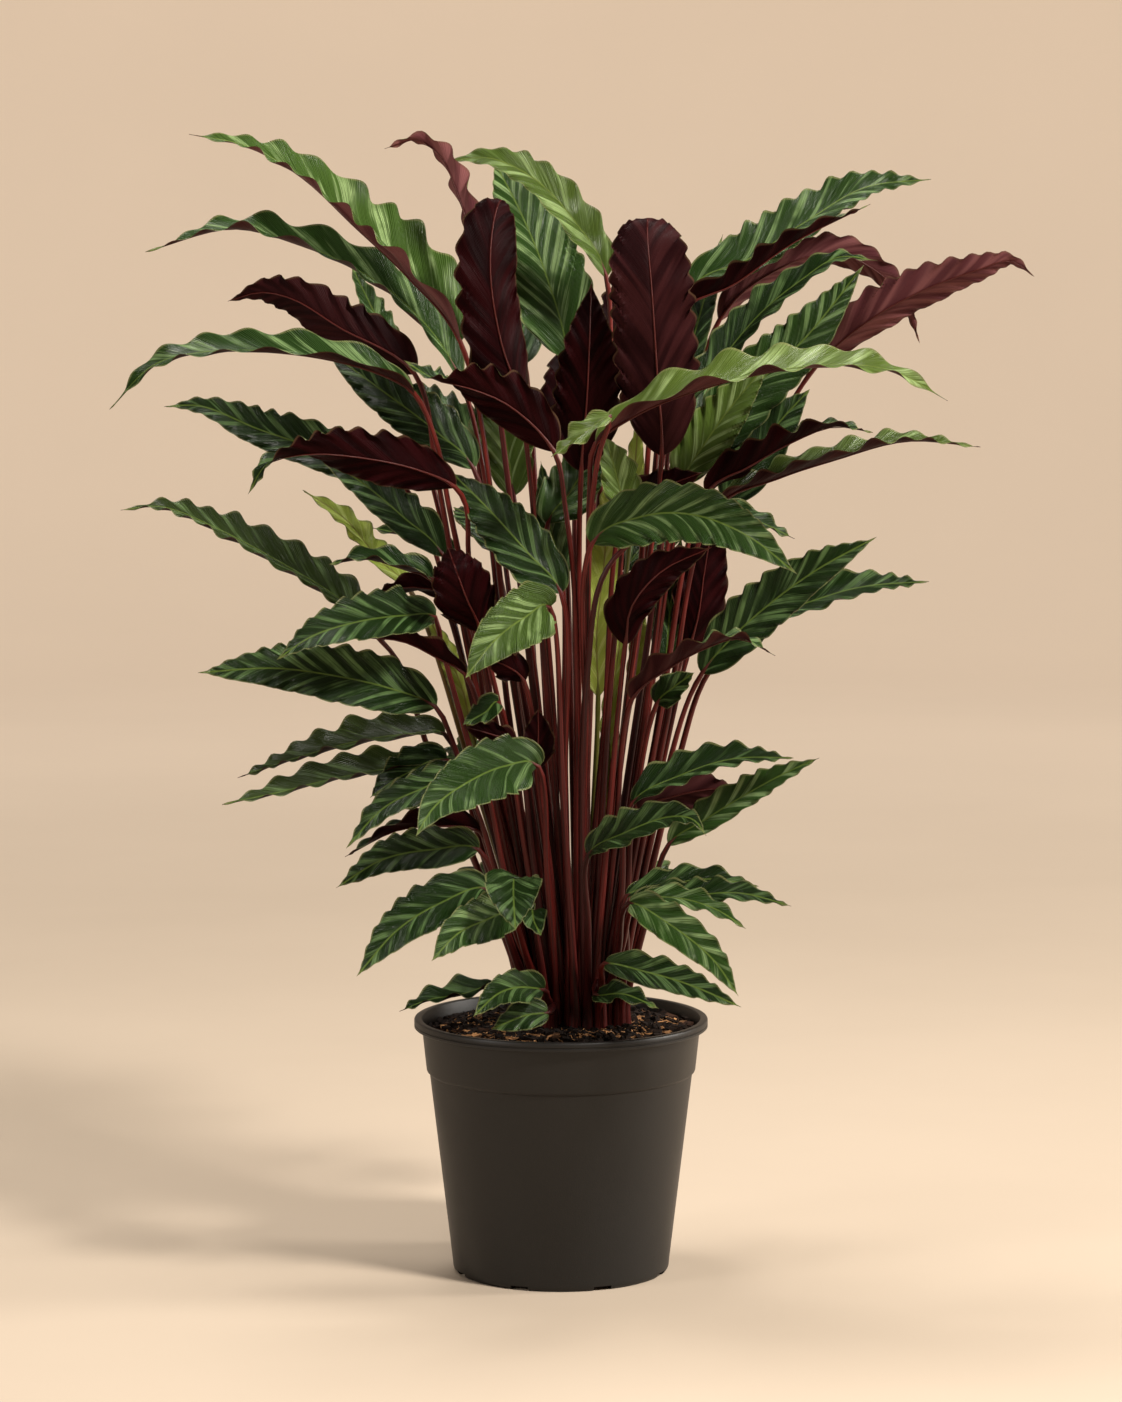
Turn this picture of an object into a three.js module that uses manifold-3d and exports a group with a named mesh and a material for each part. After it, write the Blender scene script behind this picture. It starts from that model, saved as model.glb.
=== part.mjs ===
// Potted velvet calathea: a clump of long waved leaves in a round nursery pot.
// Millimetres, +Z up, origin at the centre of the pot's base. The front of the plant faces -Y.

import * as THREE from 'three';
import { mergeVertices } from 'three/addons/utils/BufferGeometryUtils.js';
import Module from 'manifold-3d';

const wasm = await Module();
wasm.setup();

// Pot
const POT_HEIGHT = 180;
const LIP_RADIUS = 103.5;
const LIP_BOTTOM = 173.5;
const LIP_GROOVE = 0.5;
const COLLAR_RADIUS = 98;
const COLLAR_FOOT_RADIUS = 94.9;
const COLLAR_FOOT = 143.5;
const TAPER_TOP_RADIUS = 92.7;
const TAPER_TOP = 141;
const TAPER_FOOT_RADIUS = 76.5;
const TAPER_FOOT = 5;
const BASE_RADIUS = 74.5;
const WALL = 1.5;
const FLOOR = 1.8;
const POT_SIDES = 36;
const NOTCH_COUNT = 8;
const NOTCH_WIDTH = 13;
const NOTCH_HEIGHT = 3;
const NOTCH_INNER_RADIUS = 69;
const NOTCH_DEPTH = 12;

// Soil
const CLEARANCE = 0.3;
const SOIL_EDGE = 171;
const SOIL_CROWN = 174.5;
const SOIL_SIDES = 28;
const HOLE_DEPTH = 16;

// Shoot feet stand on a staggered grid, so that none touches its neighbour
const CLUMP_X = 10;
const CLUMP_Y = 10;
const FOOT_PITCH = 8.8;
const FOOT_ROW = 7.6;
const FOOT_RADIUS = 3.7;
const FOOT_NECK = 2.7;
const FOOT_TOP = 188;
const STALK_NECK = 190;
const FOOT_SIDES = 5;

// The leaves were read off a front view: from an eye EYE_BACK in front of the pot's axis and
// EYE_HEIGHT over the floor, a point (across, up) is where it shows in the plane y = 0, and the
// third value says how far behind that plane it really lies. These are in centimetres.
const EYE_BACK = 3100;
const EYE_HEIGHT = 735;
const CM = 10;

// Leaves
const STALK_FOOT_RADIUS = 2.6;
const STALK_MID_RADIUS = 2.4;
const STALK_TOP_RADIUS = 1.6;
const STALK_RINGS = 4;
const BLADE_RINGS_LEAST = 5;
const BLADE_RING_PITCH = 40;
const BLADE_THICKNESS = 1.4;
const WAVE_SHARE = 0.06;
const SCALLOP_SHARE = 0.06;
const FOLD_AT_BASE = 0.45;
const FOLD_AT_TIP = 0.15;
const FOLD_ON_EDGE = 0.45;
const TWIST_FROM = 80;
const TWIST_POWER = 3;
const WIDEST_AT = 0.33;
const TAIL_AT = 0.96;
const TAIL_WIDTH = 0.07;
const POINTED = 2.3;
const TAPERED = 1.3;
const BLUNT = 7;

const GREEN = { color: 0x2f4a1f, roughness: 0.6 };
const PALE_GREEN = { color: 0x567235, roughness: 0.55 };
const YELLOW_GREEN = { color: 0x8c9440, roughness: 0.6 };
const BURGUNDY = { color: 0x3a1418, roughness: 0.65 };
const CHARCOAL = { color: 0x35322f, roughness: 0.55 };
const PEAT = { color: 0x2a1b12, roughness: 0.95 };

// A shoot is [name, colour, [foot column, foot row], leaves]. A leaf is [width, turn at the base,
// turn at the tip, blade points] with an optional list of points that its stalk passes. Turn 0
// shows the green face to the front, 90 turns it to the sky and 180 shows the burgundy back.
const SHOOTS = [
  // Left side, from the top down
  ['left_01', 'green', [-2, 1], [
    [5.8, 67, 62,
      [[-7, 65.5, -1], [-10.6, 70, 0], [-14.3, 73.5, 1], [-18, 76.9, 2], [-21.6, 78.9, 2],
        [-25.7, 79.8, 2]],
      [], TAPERED],
    [3.5, 42, 80,
      [[-7, 62.9, 3.4], [-10.9, 68.2, 4], [-14.6, 70.7, 4], [-18.1, 72.2, 3], [-22.7, 73.3, 2],
        [-28.8, 71.7, 1]]]]],
  ['left_02', 'burgundy', [-2, 0], [
    [3.7, 165, 150,
      [[-10.2, 63.3, -2.5], [-15.4, 66.5, -2], [-18.5, 68.4, -1], [-20.8, 68.9, 0], [-23.1, 68.3, 1]],
      [[-8.6, 56, -2.4], [-6.5, 44, -1.35]]],
    [3.0, 72, 52,
      [[-10.2, 61.9, -5], [-12.8, 63.4, -7], [-18, 64.6, -8], [-24.4, 64.8, -8], [-28.2, 63.9, -7.5],
        [-31.4, 60.8, -7]],
      [[-8.6, 58.2, -3.4], [-7.8, 54, -2.8]]]]],
  ['left_03', 'green', [-3, 1], [
    [3.8, 12, 20, [[-6.1, 56.7, 1.3], [-8.5, 59.1, 1.8], [-12.7, 62.3, 3], [-16.4, 65, 5]]],
    [3.1, 20, 25, [[-8.2, 50.6, 1], [-11, 53.3, 1], [-14, 55.8, 2], [-17, 57.6, 3]]]]],
  ['left_04', 'green', [-2, 2], [
    [1.9, 15, 30, [[-11.5, 64.5, 7], [-13.2, 68, 9], [-14.6, 70.9, 10]]],
    [3.5, 12, 30, [[-11, 55.5, 5], [-16, 57.7, 6], [-21, 59.4, 7], [-25, 61, 7], [-27.6, 61, 7]]]]],
  ['left_05', 'burgundy', [-3, -1], [
    [3.7, 172, 0,
      [[-7.4, 55.4, -5], [-10, 56.6, -7], [-13.6, 57.4, -9], [-17.5, 57.7, -10], [-20.4, 57, -10.5],
        [-21.8, 54.9, -10.5]],
      [[-6.6, 54, -4], [-6.4, 50, -3.6]]],
    [2.4, 60, 70, [[-9, 48.9, -2], [-11, 49.7, -3], [-13.5, 50.4, -3.5], [-16.2, 50, -4]]]]],
  ['left_06', 'yellow', [-3, 2], [
    [2.0, 35, 40, [[-10.6, 48.3, 4], [-12.7, 50.3, 5], [-15, 53.1, 6], [-18, 55.2, 7]]],
    [1.9, 55, 60, [[-7, 49.8, 8.5], [-10, 51.7, 8.5], [-13.3, 52.6, 8.5]]]]],
  ['left_07', 'green', [-4, 2], [
    [2.2, 55, 60, [[-4.6, 20.3, 1], [-7, 19.6, 0], [-9.3, 19.2, -1], [-11.4, 18.4, -2]]],
    [3.4, 45, 60,
      [[-13.2, 45.3, 5], [-15.5, 47.6, 6], [-19, 49.8, 7], [-24, 52.5, 8], [-27.8, 54, 8.5],
        [-30.7, 53.8, 9]],
      [[-11.3, 43, 4.5], [-9.3, 37, 3.5]]]]],
  ['left_08', 'green', [-3, 0], [
    [3.6, 30, 20,
      [[-8.8, 46.3, -3], [-11, 46.4, -5], [-14.5, 45.9, -8], [-17.5, 44.9, -10], [-19.9, 43.3, -11]],
      [[-8.4, 44.5, -2.6]]],
    [2.4, 135, 130, [[-7, 47.3, 0.3], [-9.8, 48.4, 0], [-12.9, 48.1, -0.5]], [[-4.7, 34, 0.85]]]]],
  ['left_09', 'green', [-4, -1], [
    [4.1, 12, 18, [[-8.8, 40, -2], [-12, 41.3, -3], [-16, 42.2, -4], [-20, 42.7, -5], [-25.4, 42.4, -5]],
      [[-8, 38.6, -1.8]]],
    [2.2, 118, 100, [[-6.7, 42.3, -4.5], [-8.5, 43.4, -4.6], [-11, 44.6, -3.5], [-14.3, 44.9, -2]]]]],
  ['left_10', 'green', [-4, 0], [
    [3.2, 50, 65,
      [[-8.2, 38.1, 1.5], [-10.5, 38.1, 2], [-14.5, 37.5, 3], [-18.5, 36.4, 4], [-22.7, 35, 4]]],
    [3.0, 55, 60, [[-9, 35.7, 0], [-12, 35.6, 0], [-16, 34.9, 0], [-20, 33.9, -1], [-23.8, 33.1, -2]]],
    [3.0, 25, 30, [[-8, 36.2, 0], [-11, 35.2, -1.5], [-13.4, 33.6, -3]]]]],
  ['left_11', 'pale', [-2, -3], [
    [4.1, 0, 5, [[-1.6, 35.8, -6], [-4, 35.8, -9], [-7, 34.4, -13], [-9, 32.8, -16], [-10.2, 30.8, -18]]]]],
  ['left_12', 'green', [-3, -2], [
    [2.5, 25, 25, [[-6, 35.2, -4], [-10, 34.1, -7], [-12.5, 32.8, -8], [-15.1, 30, -9]]],
    [2.4, 25, 30, [[-7, 34.3, -3.2], [-10, 33.7, -4.5], [-12.4, 32.4, -5.5]]]]],
  ['left_13', 'green', [-4, -2], [
    [2.3, 125, 75, [[-5.7, 31.2, -2.1], [-8.5, 31.6, -2.6], [-11.5, 31.3, -3], [-15.2, 29.4, -4]]],
    [3.0, 15, 20, [[-5.8, 29.9, -5], [-9, 29.9, -7], [-12.5, 29.2, -9], [-15.8, 27.2, -10]]]]],
  ['left_14', 'green', [-4, -3], [
    [3.4, 12, 15, [[-5.2, 27.1, -5], [-8.5, 26.1, -8], [-11.5, 24.2, -10], [-14.4, 20.9, -12]]]]],
  ['left_15', 'pale', [-3, -3], [
    [3.2, 8, 10, [[-3.6, 25.3, -7], [-5.5, 24.8, -10], [-7.3, 23.9, -12], [-9.1, 22, -14]]],
    [3.8, 0, 0, [[-3.3, 27.8, -8.5], [-3.35, 27, -11], [-3.3, 25.7, -13.5], [-3.2, 24.2, -15]],
      [[-3.3, 24.5, -5]]]]],
  ['left_16', 'green', [-2, -4], [
    [1.8, 10, 20, [[-2, 25.6, -5.5], [-1.9, 24.8, -7.5], [-1.4, 23.8, -9]]],
    [2.4, 8, 12, [[-1.2, 19.9, -6], [-3, 20.1, -8], [-4.5, 19.6, -10], [-6.2, 18, -12]]],
    [2.1, 5, 10, [[-0.9, 18.3, -7], [-2.5, 18.1, -7.6], [-4.9, 17.1, -8]]]]],

  // Right side, from the top down
  ['right_01', 'green', [1, 1], [
    [3.9, 32, 42, [[9, 69.1, 4], [13, 71.2, 5], [17, 73.8, 6], [21, 76.1, 7], [25.6, 76.7, 7]]],
    [2.4, 110, 100, [[8, 67.3, 1], [12, 69.5, 1], [16, 72.3, 1], [21.4, 75, 1]]]]],
  ['right_02', 'green', [2, 0], [
    [2.9, 40, 50,
      [[8.8, 60.9, -0.2], [11.2, 64.3, 0], [13.9, 67.5, 0], [16.6, 69.7, 0], [19.2, 71.3, 0],
        [21.9, 71.1, 0]]],
    [2.2, 10, 15, [[7.8, 60.5, 4.6], [9.4, 66.5, 6.2], [11.2, 72.9, 8.5]], [[6.3, 42, 2.9]]]]],
  ['right_03', 'burgundy', [2, 2], [
    [2.8, 150, 150,
      [[11, 67, 7], [15, 70.5, 8], [19, 71.6, 9], [22, 70.3, 9], [23.8, 68.3, 9], [24.9, 65.4, 9]]],
    [3.4, 155, 150,
      [[17.8, 63.9, 4], [21.4, 67, 2], [25, 69, 1], [29, 70.5, 0], [31.2, 71.1, 0], [32.8, 70, 0]],
      [[15, 59.5, 5], [11, 52, 4]]]]],
  ['right_04', 'pale', [2, -1], [
    [4.4, 8, 15, [[9.1, 56.6, -1.6], [11.5, 60, -1.2], [14, 62.9, -0.6], [17, 65.8, 0], [21, 70.8, 1]]],
    [3.5, 8, 15, [[8.4, 55.6, -2], [10, 58.4, -2.1], [12, 61.2, -2.4], [14.4, 64, -2.9]]]]],
  ['right_05', 'yellow', [1, -2], [
    [3.4, 75, 50,
      [[2.4, 58.4, -7], [5.1, 60.4, -8], [8.7, 61.9, -9], [13.9, 63.3, -9], [19.4, 63.9, -8],
        [23.2, 63.4, -7.5], [26.9, 61.4, -7]],
      [[2, 55, -5.8], [1.9, 50, -4.8]]],
    [1.8, 35, 50, [[3.4, 60.3, -9.2], [2.2, 59.6, -9.8], [1, 58.7, -10], [-0.7, 57.5, -10]],
      [[2.6, 57.5, -7.6], [2, 52, -5.8]]],
    [2.9, 20, 30, [[4.3, 54.2, -5.4], [3.9, 56, -6], [3.1, 58.9, -7]]]]],
  ['right_06', 'green', [2, 1], [
    [3.9, 10, 15, [[11.6, 54.3, 1.6], [13.3, 57.2, 1.8], [15.2, 59.9, 2], [17.3, 62.2, 2.2]],
      [[9.6, 49, 2.9]]]]],
  ['right_07', 'burgundy', [3, 0], [
    [3.0, 145, 70, [[10.2, 55.1, -3], [13, 56.8, -4], [16, 58.5, -5], [19, 59.6, -6], [21.7, 59.2, -6]]],
    [2.6, 80, 70,
      [[10.8, 54, -1.5], [15, 56, -2], [19, 57.3, -2.5], [24, 58.6, -2.5], [29.2, 58.2, -2.5]]]]],
  ['right_08', 'pale', [0, -3], [
    [4.1, 5, 5, [[2.2, 51.5, -7], [5.5, 53.3, -9], [9, 53.5, -11], [13, 52, -14], [16.5, 49.3, -16]]],
    [2.0, 45, 55, [[8.5, 53.4, -6.5], [12.5, 53.4, -7.5], [16.3, 51.8, -8.5]],
      [[3.4, 50, -6.3], [1.8, 42, -5.4]]]]],
  ['right_09', 'green', [3, -1], [
    [3.7, 10, 20, [[9.9, 42.4, -3], [12, 44.9, -4], [14.8, 47.4, -5], [18, 49.7, -6], [22, 51.9, -6]],
      [[8.5, 39.3, -2.4]]]]],
  ['right_10', 'green', [4, 0], [
    [2.8, 35, 50, [[13.5, 45.8, 1], [17.5, 47.4, 1], [21, 48.4, 1], [25.7, 48.8, 1]],
      [[10.2, 42.2, 0.6], [8.3, 36.5, 0.4]]]]],
  ['right_11', 'burgundy', [3, 1], [
    [3.8, 172, 170, [[9, 44.2, 1], [9.6, 46.5, 0.5], [10, 49.5, 0.5], [10.8, 54, 1]],
      [[8.2, 41, 1]]],
    [2.6, 15, 20, [[7.3, 42.8, 1.2], [7.6, 46.5, 1.6], [8.4, 52, 2]]]]],
  ['right_12', 'burgundy', [1, -3], [
    [3.2, 165, 160, [[4.5, 44.4, -6], [4.9, 47, -7], [7, 49.5, -7.5], [10.5, 51.2, -8]]]]],
  ['right_13', 'burgundy', [2, -2], [
    [2.6, 115, 75, [[5, 40.6, -5], [7.5, 42.7, -7], [10, 44.1, -8.5], [12.5, 44.8, -9.5], [15, 43.6, -10]]],
    [2.2, 10, 20, [[6.7, 40.2, -2], [7.8, 41.3, -3], [9.3, 42.4, -4]]]]],
  ['right_14', 'green', [3, -2], [
    [2.8, 40, 50, [[5, 33.2, -5], [8.5, 35.2, -6], [12, 36.3, -7], [16.3, 36.4, -8]]],
    [3.0, 158, 160, [[5.5, 32.7, -3], [8, 33.7, -3.3], [10.5, 34.2, -3.5], [12.4, 34.2, -3.6]]]]],
  ['right_15', 'pale', [4, -2], [
    [2.5, 25, 30,
      [[7.6, 30.3, -4], [10.1, 32, -5], [12.8, 33.7, -6], [15.7, 35.3, -7], [18.1, 36.4, -8]]]]],
  ['right_16', 'green', [1, -4], [
    [2.7, 40, 30,
      [[1.9, 29.5, -8], [4.5, 31.1, -11], [7.5, 32.2, -13], [9.3, 32, -15], [10.2, 30.9, -16]]]]],
  ['right_17', 'green', [3, -3], [
    [2.2, 35, 45, [[4.6, 26.6, -5], [7, 27.3, -5.2], [10.5, 27.8, -5.6], [13.9, 27.3, -6]]],
    [2.2, 35, 40, [[5, 26.1, -7], [9, 26.6, -8], [12.6, 26.8, -8.6], [16.2, 25.9, -9.4]]]]],
  ['right_18', 'pale', [2, -3], [
    [1.8, 35, 40, [[5.5, 26.3, -9], [8.5, 26.4, -10], [11, 25.6, -10.8], [13, 24.3, -11.6]]],
    [2.6, 14, 10, [[4.8, 26.1, -10.5], [7.5, 24.7, -13], [10.6, 22.2, -15], [12.5, 19.5, -17]]]]],
  ['right_19', 'green', [2, -4], [
    [2.4, 22, 20, [[3.1, 21.8, -8], [6, 21.2, -10], [9, 20.3, -11.5], [12.7, 18.7, -13]]],
    [1.7, 30, 40, [[2.4, 19.6, -4.6], [4.5, 19.6, -7], [6.9, 18.6, -8]], [[2.6, 20.5, -3.1]]]]],

  // Middle of the clump
  ['centre_01', 'burgundy', [-1, -1], [
    [2.0, 130, 125, [[-6, 72, -2], [-7.2, 75.9, -1], [-8.3, 78.3, 0], [-9.9, 79.4, 0], [-12.2, 78.8, 0]]],
    [4.4, 204, 200,
      [[-2.8, 60.9, -5], [-4.2, 65.5, -5.8], [-4.9, 70, -6], [-4.7, 73.6, -5.4], [-4.2, 75.2, -4.4],
        [-3.8, 75.1, -3.4]],
      [], BLUNT]]],
  ['centre_02', 'pale', [0, 1], [
    [3.0, 30, 35, [[3.1, 70.1, 2], [1.1, 73.6, 2], [-1.7, 76.6, 2], [-4.8, 78.1, 2], [-7.8, 78, 2]]],
    [5.6, 2, 5, [[0.5, 64.4, 5], [-1, 70, 6], [-2.6, 74, 8], [-4.7, 78.1, 10]]]]],
  ['centre_03', 'burgundy', [1, -1], [
    [5.6, 180, 180,
      [[7, 57.6, -4], [6.7, 63, -5.4], [6.3, 69, -6], [6, 72.6, -5.4], [6, 74, -4.2], [6, 73.4, -2.8]],
      [], BLUNT]]],
  ['centre_04', 'burgundy', [0, 0], [
    [4.6, 180, 178, [[1.4, 56.5, -2], [1.8, 61.5, -3], [2, 66, -3.6], [2.1, 69.6, -3]]]]],
  ['centre_05', 'burgundy', [0, -2], [
    [3.8, 165, 0,
      [[-0.5, 57.9, -6], [-3.5, 61, -7.5], [-6.4, 62.3, -9], [-8.8, 62.9, -9.8], [-10.9, 64.2, -10.3]],
      [[0.3, 54, -5.2], [1, 47, -4.4]]]]],
  ['centre_06', 'pale', [-1, 1], [
    [3.6, 0, 5, [[-3.3, 54.8, 5], [-3.8, 58.5, 6], [-5, 64.5, 7]]],
    [1.0, 40, 40, [[-5.8, 57.6, 5], [-5.8, 60, 5.5], [-5.6, 63, 5.5]]]]],
  ['centre_07', 'green', [-1, -3], [
    [3.9, 0, 5, [[0, 48, -6], [-2.3, 50.8, -5], [-5, 53.8, -4], [-7.7, 56.5, -3]]]]],
  ['centre_08', 'burgundy', [-2, -1], [
    [4.2, 178, 180, [[-5.6, 45.3, -4], [-6.6, 47.6, -6.4], [-7.4, 49.8, -6.8], [-7.9, 51.2, -4]]]]],
  ['centre_09', 'pale', [0, -4], [
    [3.9, 0, 0, [[-0.8, 47, -8], [-2.5, 46.3, -11], [-4.7, 44.6, -14], [-6.7, 42, -16]]]]],
  ['centre_10', 'pale', [-1, 0], [
    [3.8, 5, 10, [[-0.9, 52.9, -1], [0.6, 55, 0], [2.9, 58.8, 1]]],
    [2.2, 15, 20, [[0.1, 49, -0.5], [-0.7, 52.5, 0], [-1.4, 57.2, 1]]]]],
  ['centre_11', 'burgundy', [0, -1], [
    [2.6, 170, 170, [[4.6, 53.8, -3], [7, 55.3, -3.5], [9.8, 56.4, -4]]]]],
  ['centre_12', 'yellow', [1, 0], [
    [2.8, 10, 15, [[2.6, 40.8, 0.5], [2.5, 45, 1], [3, 50, 1], [3.6, 57.5, 1]]]]],
  ['centre_13', 'yellow', [1, 2], [
    [1.4, 5, 10, [[3.4, 33.1, 3.4], [3.4, 38, 3.6], [3.9, 43, 3.8], [4.6, 47.5, 3.8]]],
    [1.3, 5, 10, [[5, 41.3, 4.4], [5.4, 44, 4.5], [5.7, 47.5, 4.5]]],
    [1.6, 10, 15, [[4.8, 52, 5], [5.1, 56, 5.2], [5.4, 60.3, 5.4]]]]],
  ['centre_14', 'yellow', [-4, 1], [
    [1.8, 10, 15, [[-6.1, 37.5, 0.2], [-7, 41.5, 0], [-8.8, 45.4, 0], [-9.6, 47, 0]]]]],
  ['centre_15', 'burgundy', [-1, -2], [
    [2.4, 180, 180, [[-1.7, 35.6, -4], [-1.6, 37.6, -5], [-1.6, 39.9, -5]]],
    [2.2, 175, 175, [[-2.6, 41.8, -5], [-3.7, 42.8, -6], [-5.2, 43.4, -7]]]]],
  ['centre_16', 'green', [-2, -2], [
    [1.8, 20, 30, [[-4.4, 40.3, -5.5], [-5.3, 39.6, -7], [-6.9, 38.7, -8.5]]],
    [1.7, 165, 160, [[-3.3, 37.3, -5], [-5, 38.1, -6], [-6.8, 38.6, -7]]]]],

  // Far side
  ['back_01', 'green', [-1, 2], [
    [4.2, 20, 40, [[-2.5, 64, 9], [-4, 69, 14], [-5.5, 72, 20]]],
    [3.8, 20, 40, [[-5.5, 57, 9], [-9, 60.5, 13], [-12.5, 62, 19]]]]],
  ['back_02', 'green', [0, 3], [
    [4.0, 160, 150, [[3, 63, 9], [5.5, 69, 13], [8, 72, 18]]],
    [4.0, 20, 40, [[4.5, 49.5, 9], [8, 53, 13], [11, 53.5, 19]]]]],
  ['back_03', 'green', [-2, 3], [
    [3.8, 20, 40, [[-2.6, 49, 8], [-5, 52.5, 13], [-7.5, 54, 19]]],
    [3.4, 20, 30, [[-3.6, 44, 8], [-5, 45.8, 12], [-6.5, 45.4, 17]]]]],
  ['back_04', 'green', [1, 3], [
    [3.8, 20, 40, [[7.4, 58, 9], [10.5, 61.5, 13], [13.5, 63.5, 19]]],
    [3.2, 20, 30, [[5.5, 32.5, 7], [7.6, 34.2, 11], [9.6, 33, 16]]]]],
  ['back_05', 'green', [-1, 4], [
    [3.6, 20, 30, [[-4.4, 34.5, 8], [-6.5, 36, 12], [-8.5, 34.4, 17]]],
    [3.2, 20, 30, [[-4.5, 26.3, 7], [-6, 27.2, 11], [-7.6, 25.4, 16]]]]],
  ['back_06', 'green', [0, 4], [
    [3.4, 20, 30, [[4.6, 26.3, 7], [6.6, 27.5, 11], [8.8, 26.2, 16]]],
    [4.0, 170, 160, [[0.3, 58, 9], [0.8, 63, 13], [1.5, 66.5, 18]]]]],
];

const COLOURS = { green: GREEN, pale: PALE_GREEN, yellow: YELLOW_GREEN, burgundy: BURGUNDY };

// A steady stream of numbers from 0 to 1, the same on every run
function drawNumbers(seed) {
  let state = seed;
  return () => {
    state = (state * 48271) % 2147483647;
    return state / 2147483647;
  };
}

// Closed solid from a geometry, with shared vertices merged and flat slivers dropped
function solidOf(geometry) {
  const bare = geometry.clone();
  bare.deleteAttribute('normal');
  bare.deleteAttribute('uv');
  const merged = mergeVertices(bare, 1e-3);
  const triangles = [];
  const index = merged.index.array;
  for (let i = 0; i < index.length; i += 3) {
    const [a, b, c] = index.slice(i, i + 3);
    if (a !== b && b !== c && c !== a) triangles.push(a, b, c);
  }
  return new wasm.Manifold(new wasm.Mesh({
    numProp: 3,
    vertProperties: new Float32Array(merged.attributes.position.array),
    triVerts: new Uint32Array(triangles),
  }));
}

function geometryOf(solid) {
  const { vertProperties, triVerts } = solid.getMesh();
  const geometry = new THREE.BufferGeometry();
  geometry.setAttribute('position', new THREE.BufferAttribute(vertProperties, 3));
  geometry.setIndex(new THREE.BufferAttribute(triVerts, 1));
  geometry.computeVertexNormals();
  return geometry;
}

function namedMesh(name, solid, look) {
  const mesh = new THREE.Mesh(geometryOf(solid), new THREE.MeshStandardMaterial({ ...look, metalness: 0 }));
  mesh.name = name;
  return mesh;
}

function turned(profile, sides) {
  return solidOf(new THREE.LatheGeometry(profile.map(([r, z]) => new THREE.Vector2(r, z)), sides)
    .rotateX(Math.PI / 2));
}

// Pot

function potWallRadius(z) {
  if (z <= TAPER_TOP) {
    const share = (z - TAPER_FOOT) / (TAPER_TOP - TAPER_FOOT);
    return THREE.MathUtils.lerp(TAPER_FOOT_RADIUS, TAPER_TOP_RADIUS, Math.max(share, 0)) - WALL;
  }
  const share = (z - COLLAR_FOOT) / (LIP_BOTTOM - COLLAR_FOOT);
  return THREE.MathUtils.lerp(COLLAR_FOOT_RADIUS, COLLAR_RADIUS, Math.max(share, 0)) - WALL;
}

function makePot() {
  const shell = turned([
    [0, 0],
    [BASE_RADIUS, 0],
    [TAPER_FOOT_RADIUS - 0.6, 1.6],
    [TAPER_FOOT_RADIUS, TAPER_FOOT],
    [TAPER_TOP_RADIUS, TAPER_TOP],
    [COLLAR_FOOT_RADIUS, COLLAR_FOOT],
    [COLLAR_RADIUS, LIP_BOTTOM],
    [LIP_RADIUS, LIP_BOTTOM],
    [LIP_RADIUS, LIP_BOTTOM + 2],
    [LIP_RADIUS - LIP_GROOVE, LIP_BOTTOM + 2.7],
    [LIP_RADIUS, LIP_BOTTOM + 3.4],
    [LIP_RADIUS, POT_HEIGHT - 1.2],
    [LIP_RADIUS - 1, POT_HEIGHT],
    [COLLAR_RADIUS + 0.6, POT_HEIGHT],
    [COLLAR_RADIUS, POT_HEIGHT - 0.8],
    [potWallRadius(LIP_BOTTOM), LIP_BOTTOM - 1],
    [potWallRadius(COLLAR_FOOT), COLLAR_FOOT],
    [potWallRadius(TAPER_TOP), TAPER_TOP],
    [potWallRadius(FLOOR), FLOOR],
    [0, FLOOR],
  ], POT_SIDES);
  const notch = new THREE.BoxGeometry(NOTCH_DEPTH, NOTCH_WIDTH, 2 * NOTCH_HEIGHT);
  let pot = shell;
  for (let i = 0; i < NOTCH_COUNT; i += 1) {
    const angle = ((i + 0.5) / NOTCH_COUNT) * 2 * Math.PI;
    const cutter = notch.clone()
      .translate(NOTCH_INNER_RADIUS + NOTCH_DEPTH / 2, 0, 0)
      .rotateZ(angle);
    pot = pot.subtract(solidOf(cutter));
  }
  return namedMesh('pot', pot, CHARCOAL);
}

// Soil

function footPlace([column, row]) {
  const shift = Math.abs(row % 2) / 2;
  return [CLUMP_X + (column + shift) * FOOT_PITCH, CLUMP_Y + row * FOOT_ROW];
}

// Upright prism with a corner towards +X, so that a foot and its hole lie parallel
function footPrism(place, radius, bottom, top, topRadius = radius) {
  const height = top - bottom;
  const prism = new THREE.CylinderGeometry(topRadius, radius, height, FOOT_SIDES)
    .rotateX(Math.PI / 2)
    .translate(place[0], place[1], bottom + height / 2);
  return solidOf(prism);
}

function makeSoil() {
  const slope = (SOIL_CROWN - SOIL_EDGE) / 2;
  let soil = turned([
    [0, FLOOR + CLEARANCE],
    [potWallRadius(FLOOR) - 2 * CLEARANCE, FLOOR + CLEARANCE],
    [potWallRadius(TAPER_TOP) - 2 * CLEARANCE, TAPER_TOP],
    [potWallRadius(COLLAR_FOOT) - 2 * CLEARANCE, COLLAR_FOOT + CLEARANCE],
    [potWallRadius(SOIL_EDGE) - 2 * CLEARANCE, SOIL_EDGE],
    [COLLAR_RADIUS * 0.6, SOIL_EDGE + slope],
    [COLLAR_RADIUS * 0.54, SOIL_CROWN],
    [0, SOIL_CROWN],
  ], SOIL_SIDES);
  const gap = CLEARANCE / Math.cos(Math.PI / FOOT_SIDES);
  for (const [, , foot] of SHOOTS) {
    const hole = footPrism(footPlace(foot), FOOT_RADIUS + gap, SOIL_CROWN - HOLE_DEPTH, SOIL_CROWN + 5);
    soil = soil.subtract(hole);
  }
  return namedMesh('soil', soil, PEAT);
}

// Leaves

function seen([across, up, behind]) {
  const y = behind * CM;
  const scale = (EYE_BACK + y) / EYE_BACK;
  return new THREE.Vector3(across * CM * scale, y, EYE_HEIGHT + (up * CM - EYE_HEIGHT) * scale);
}

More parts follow.
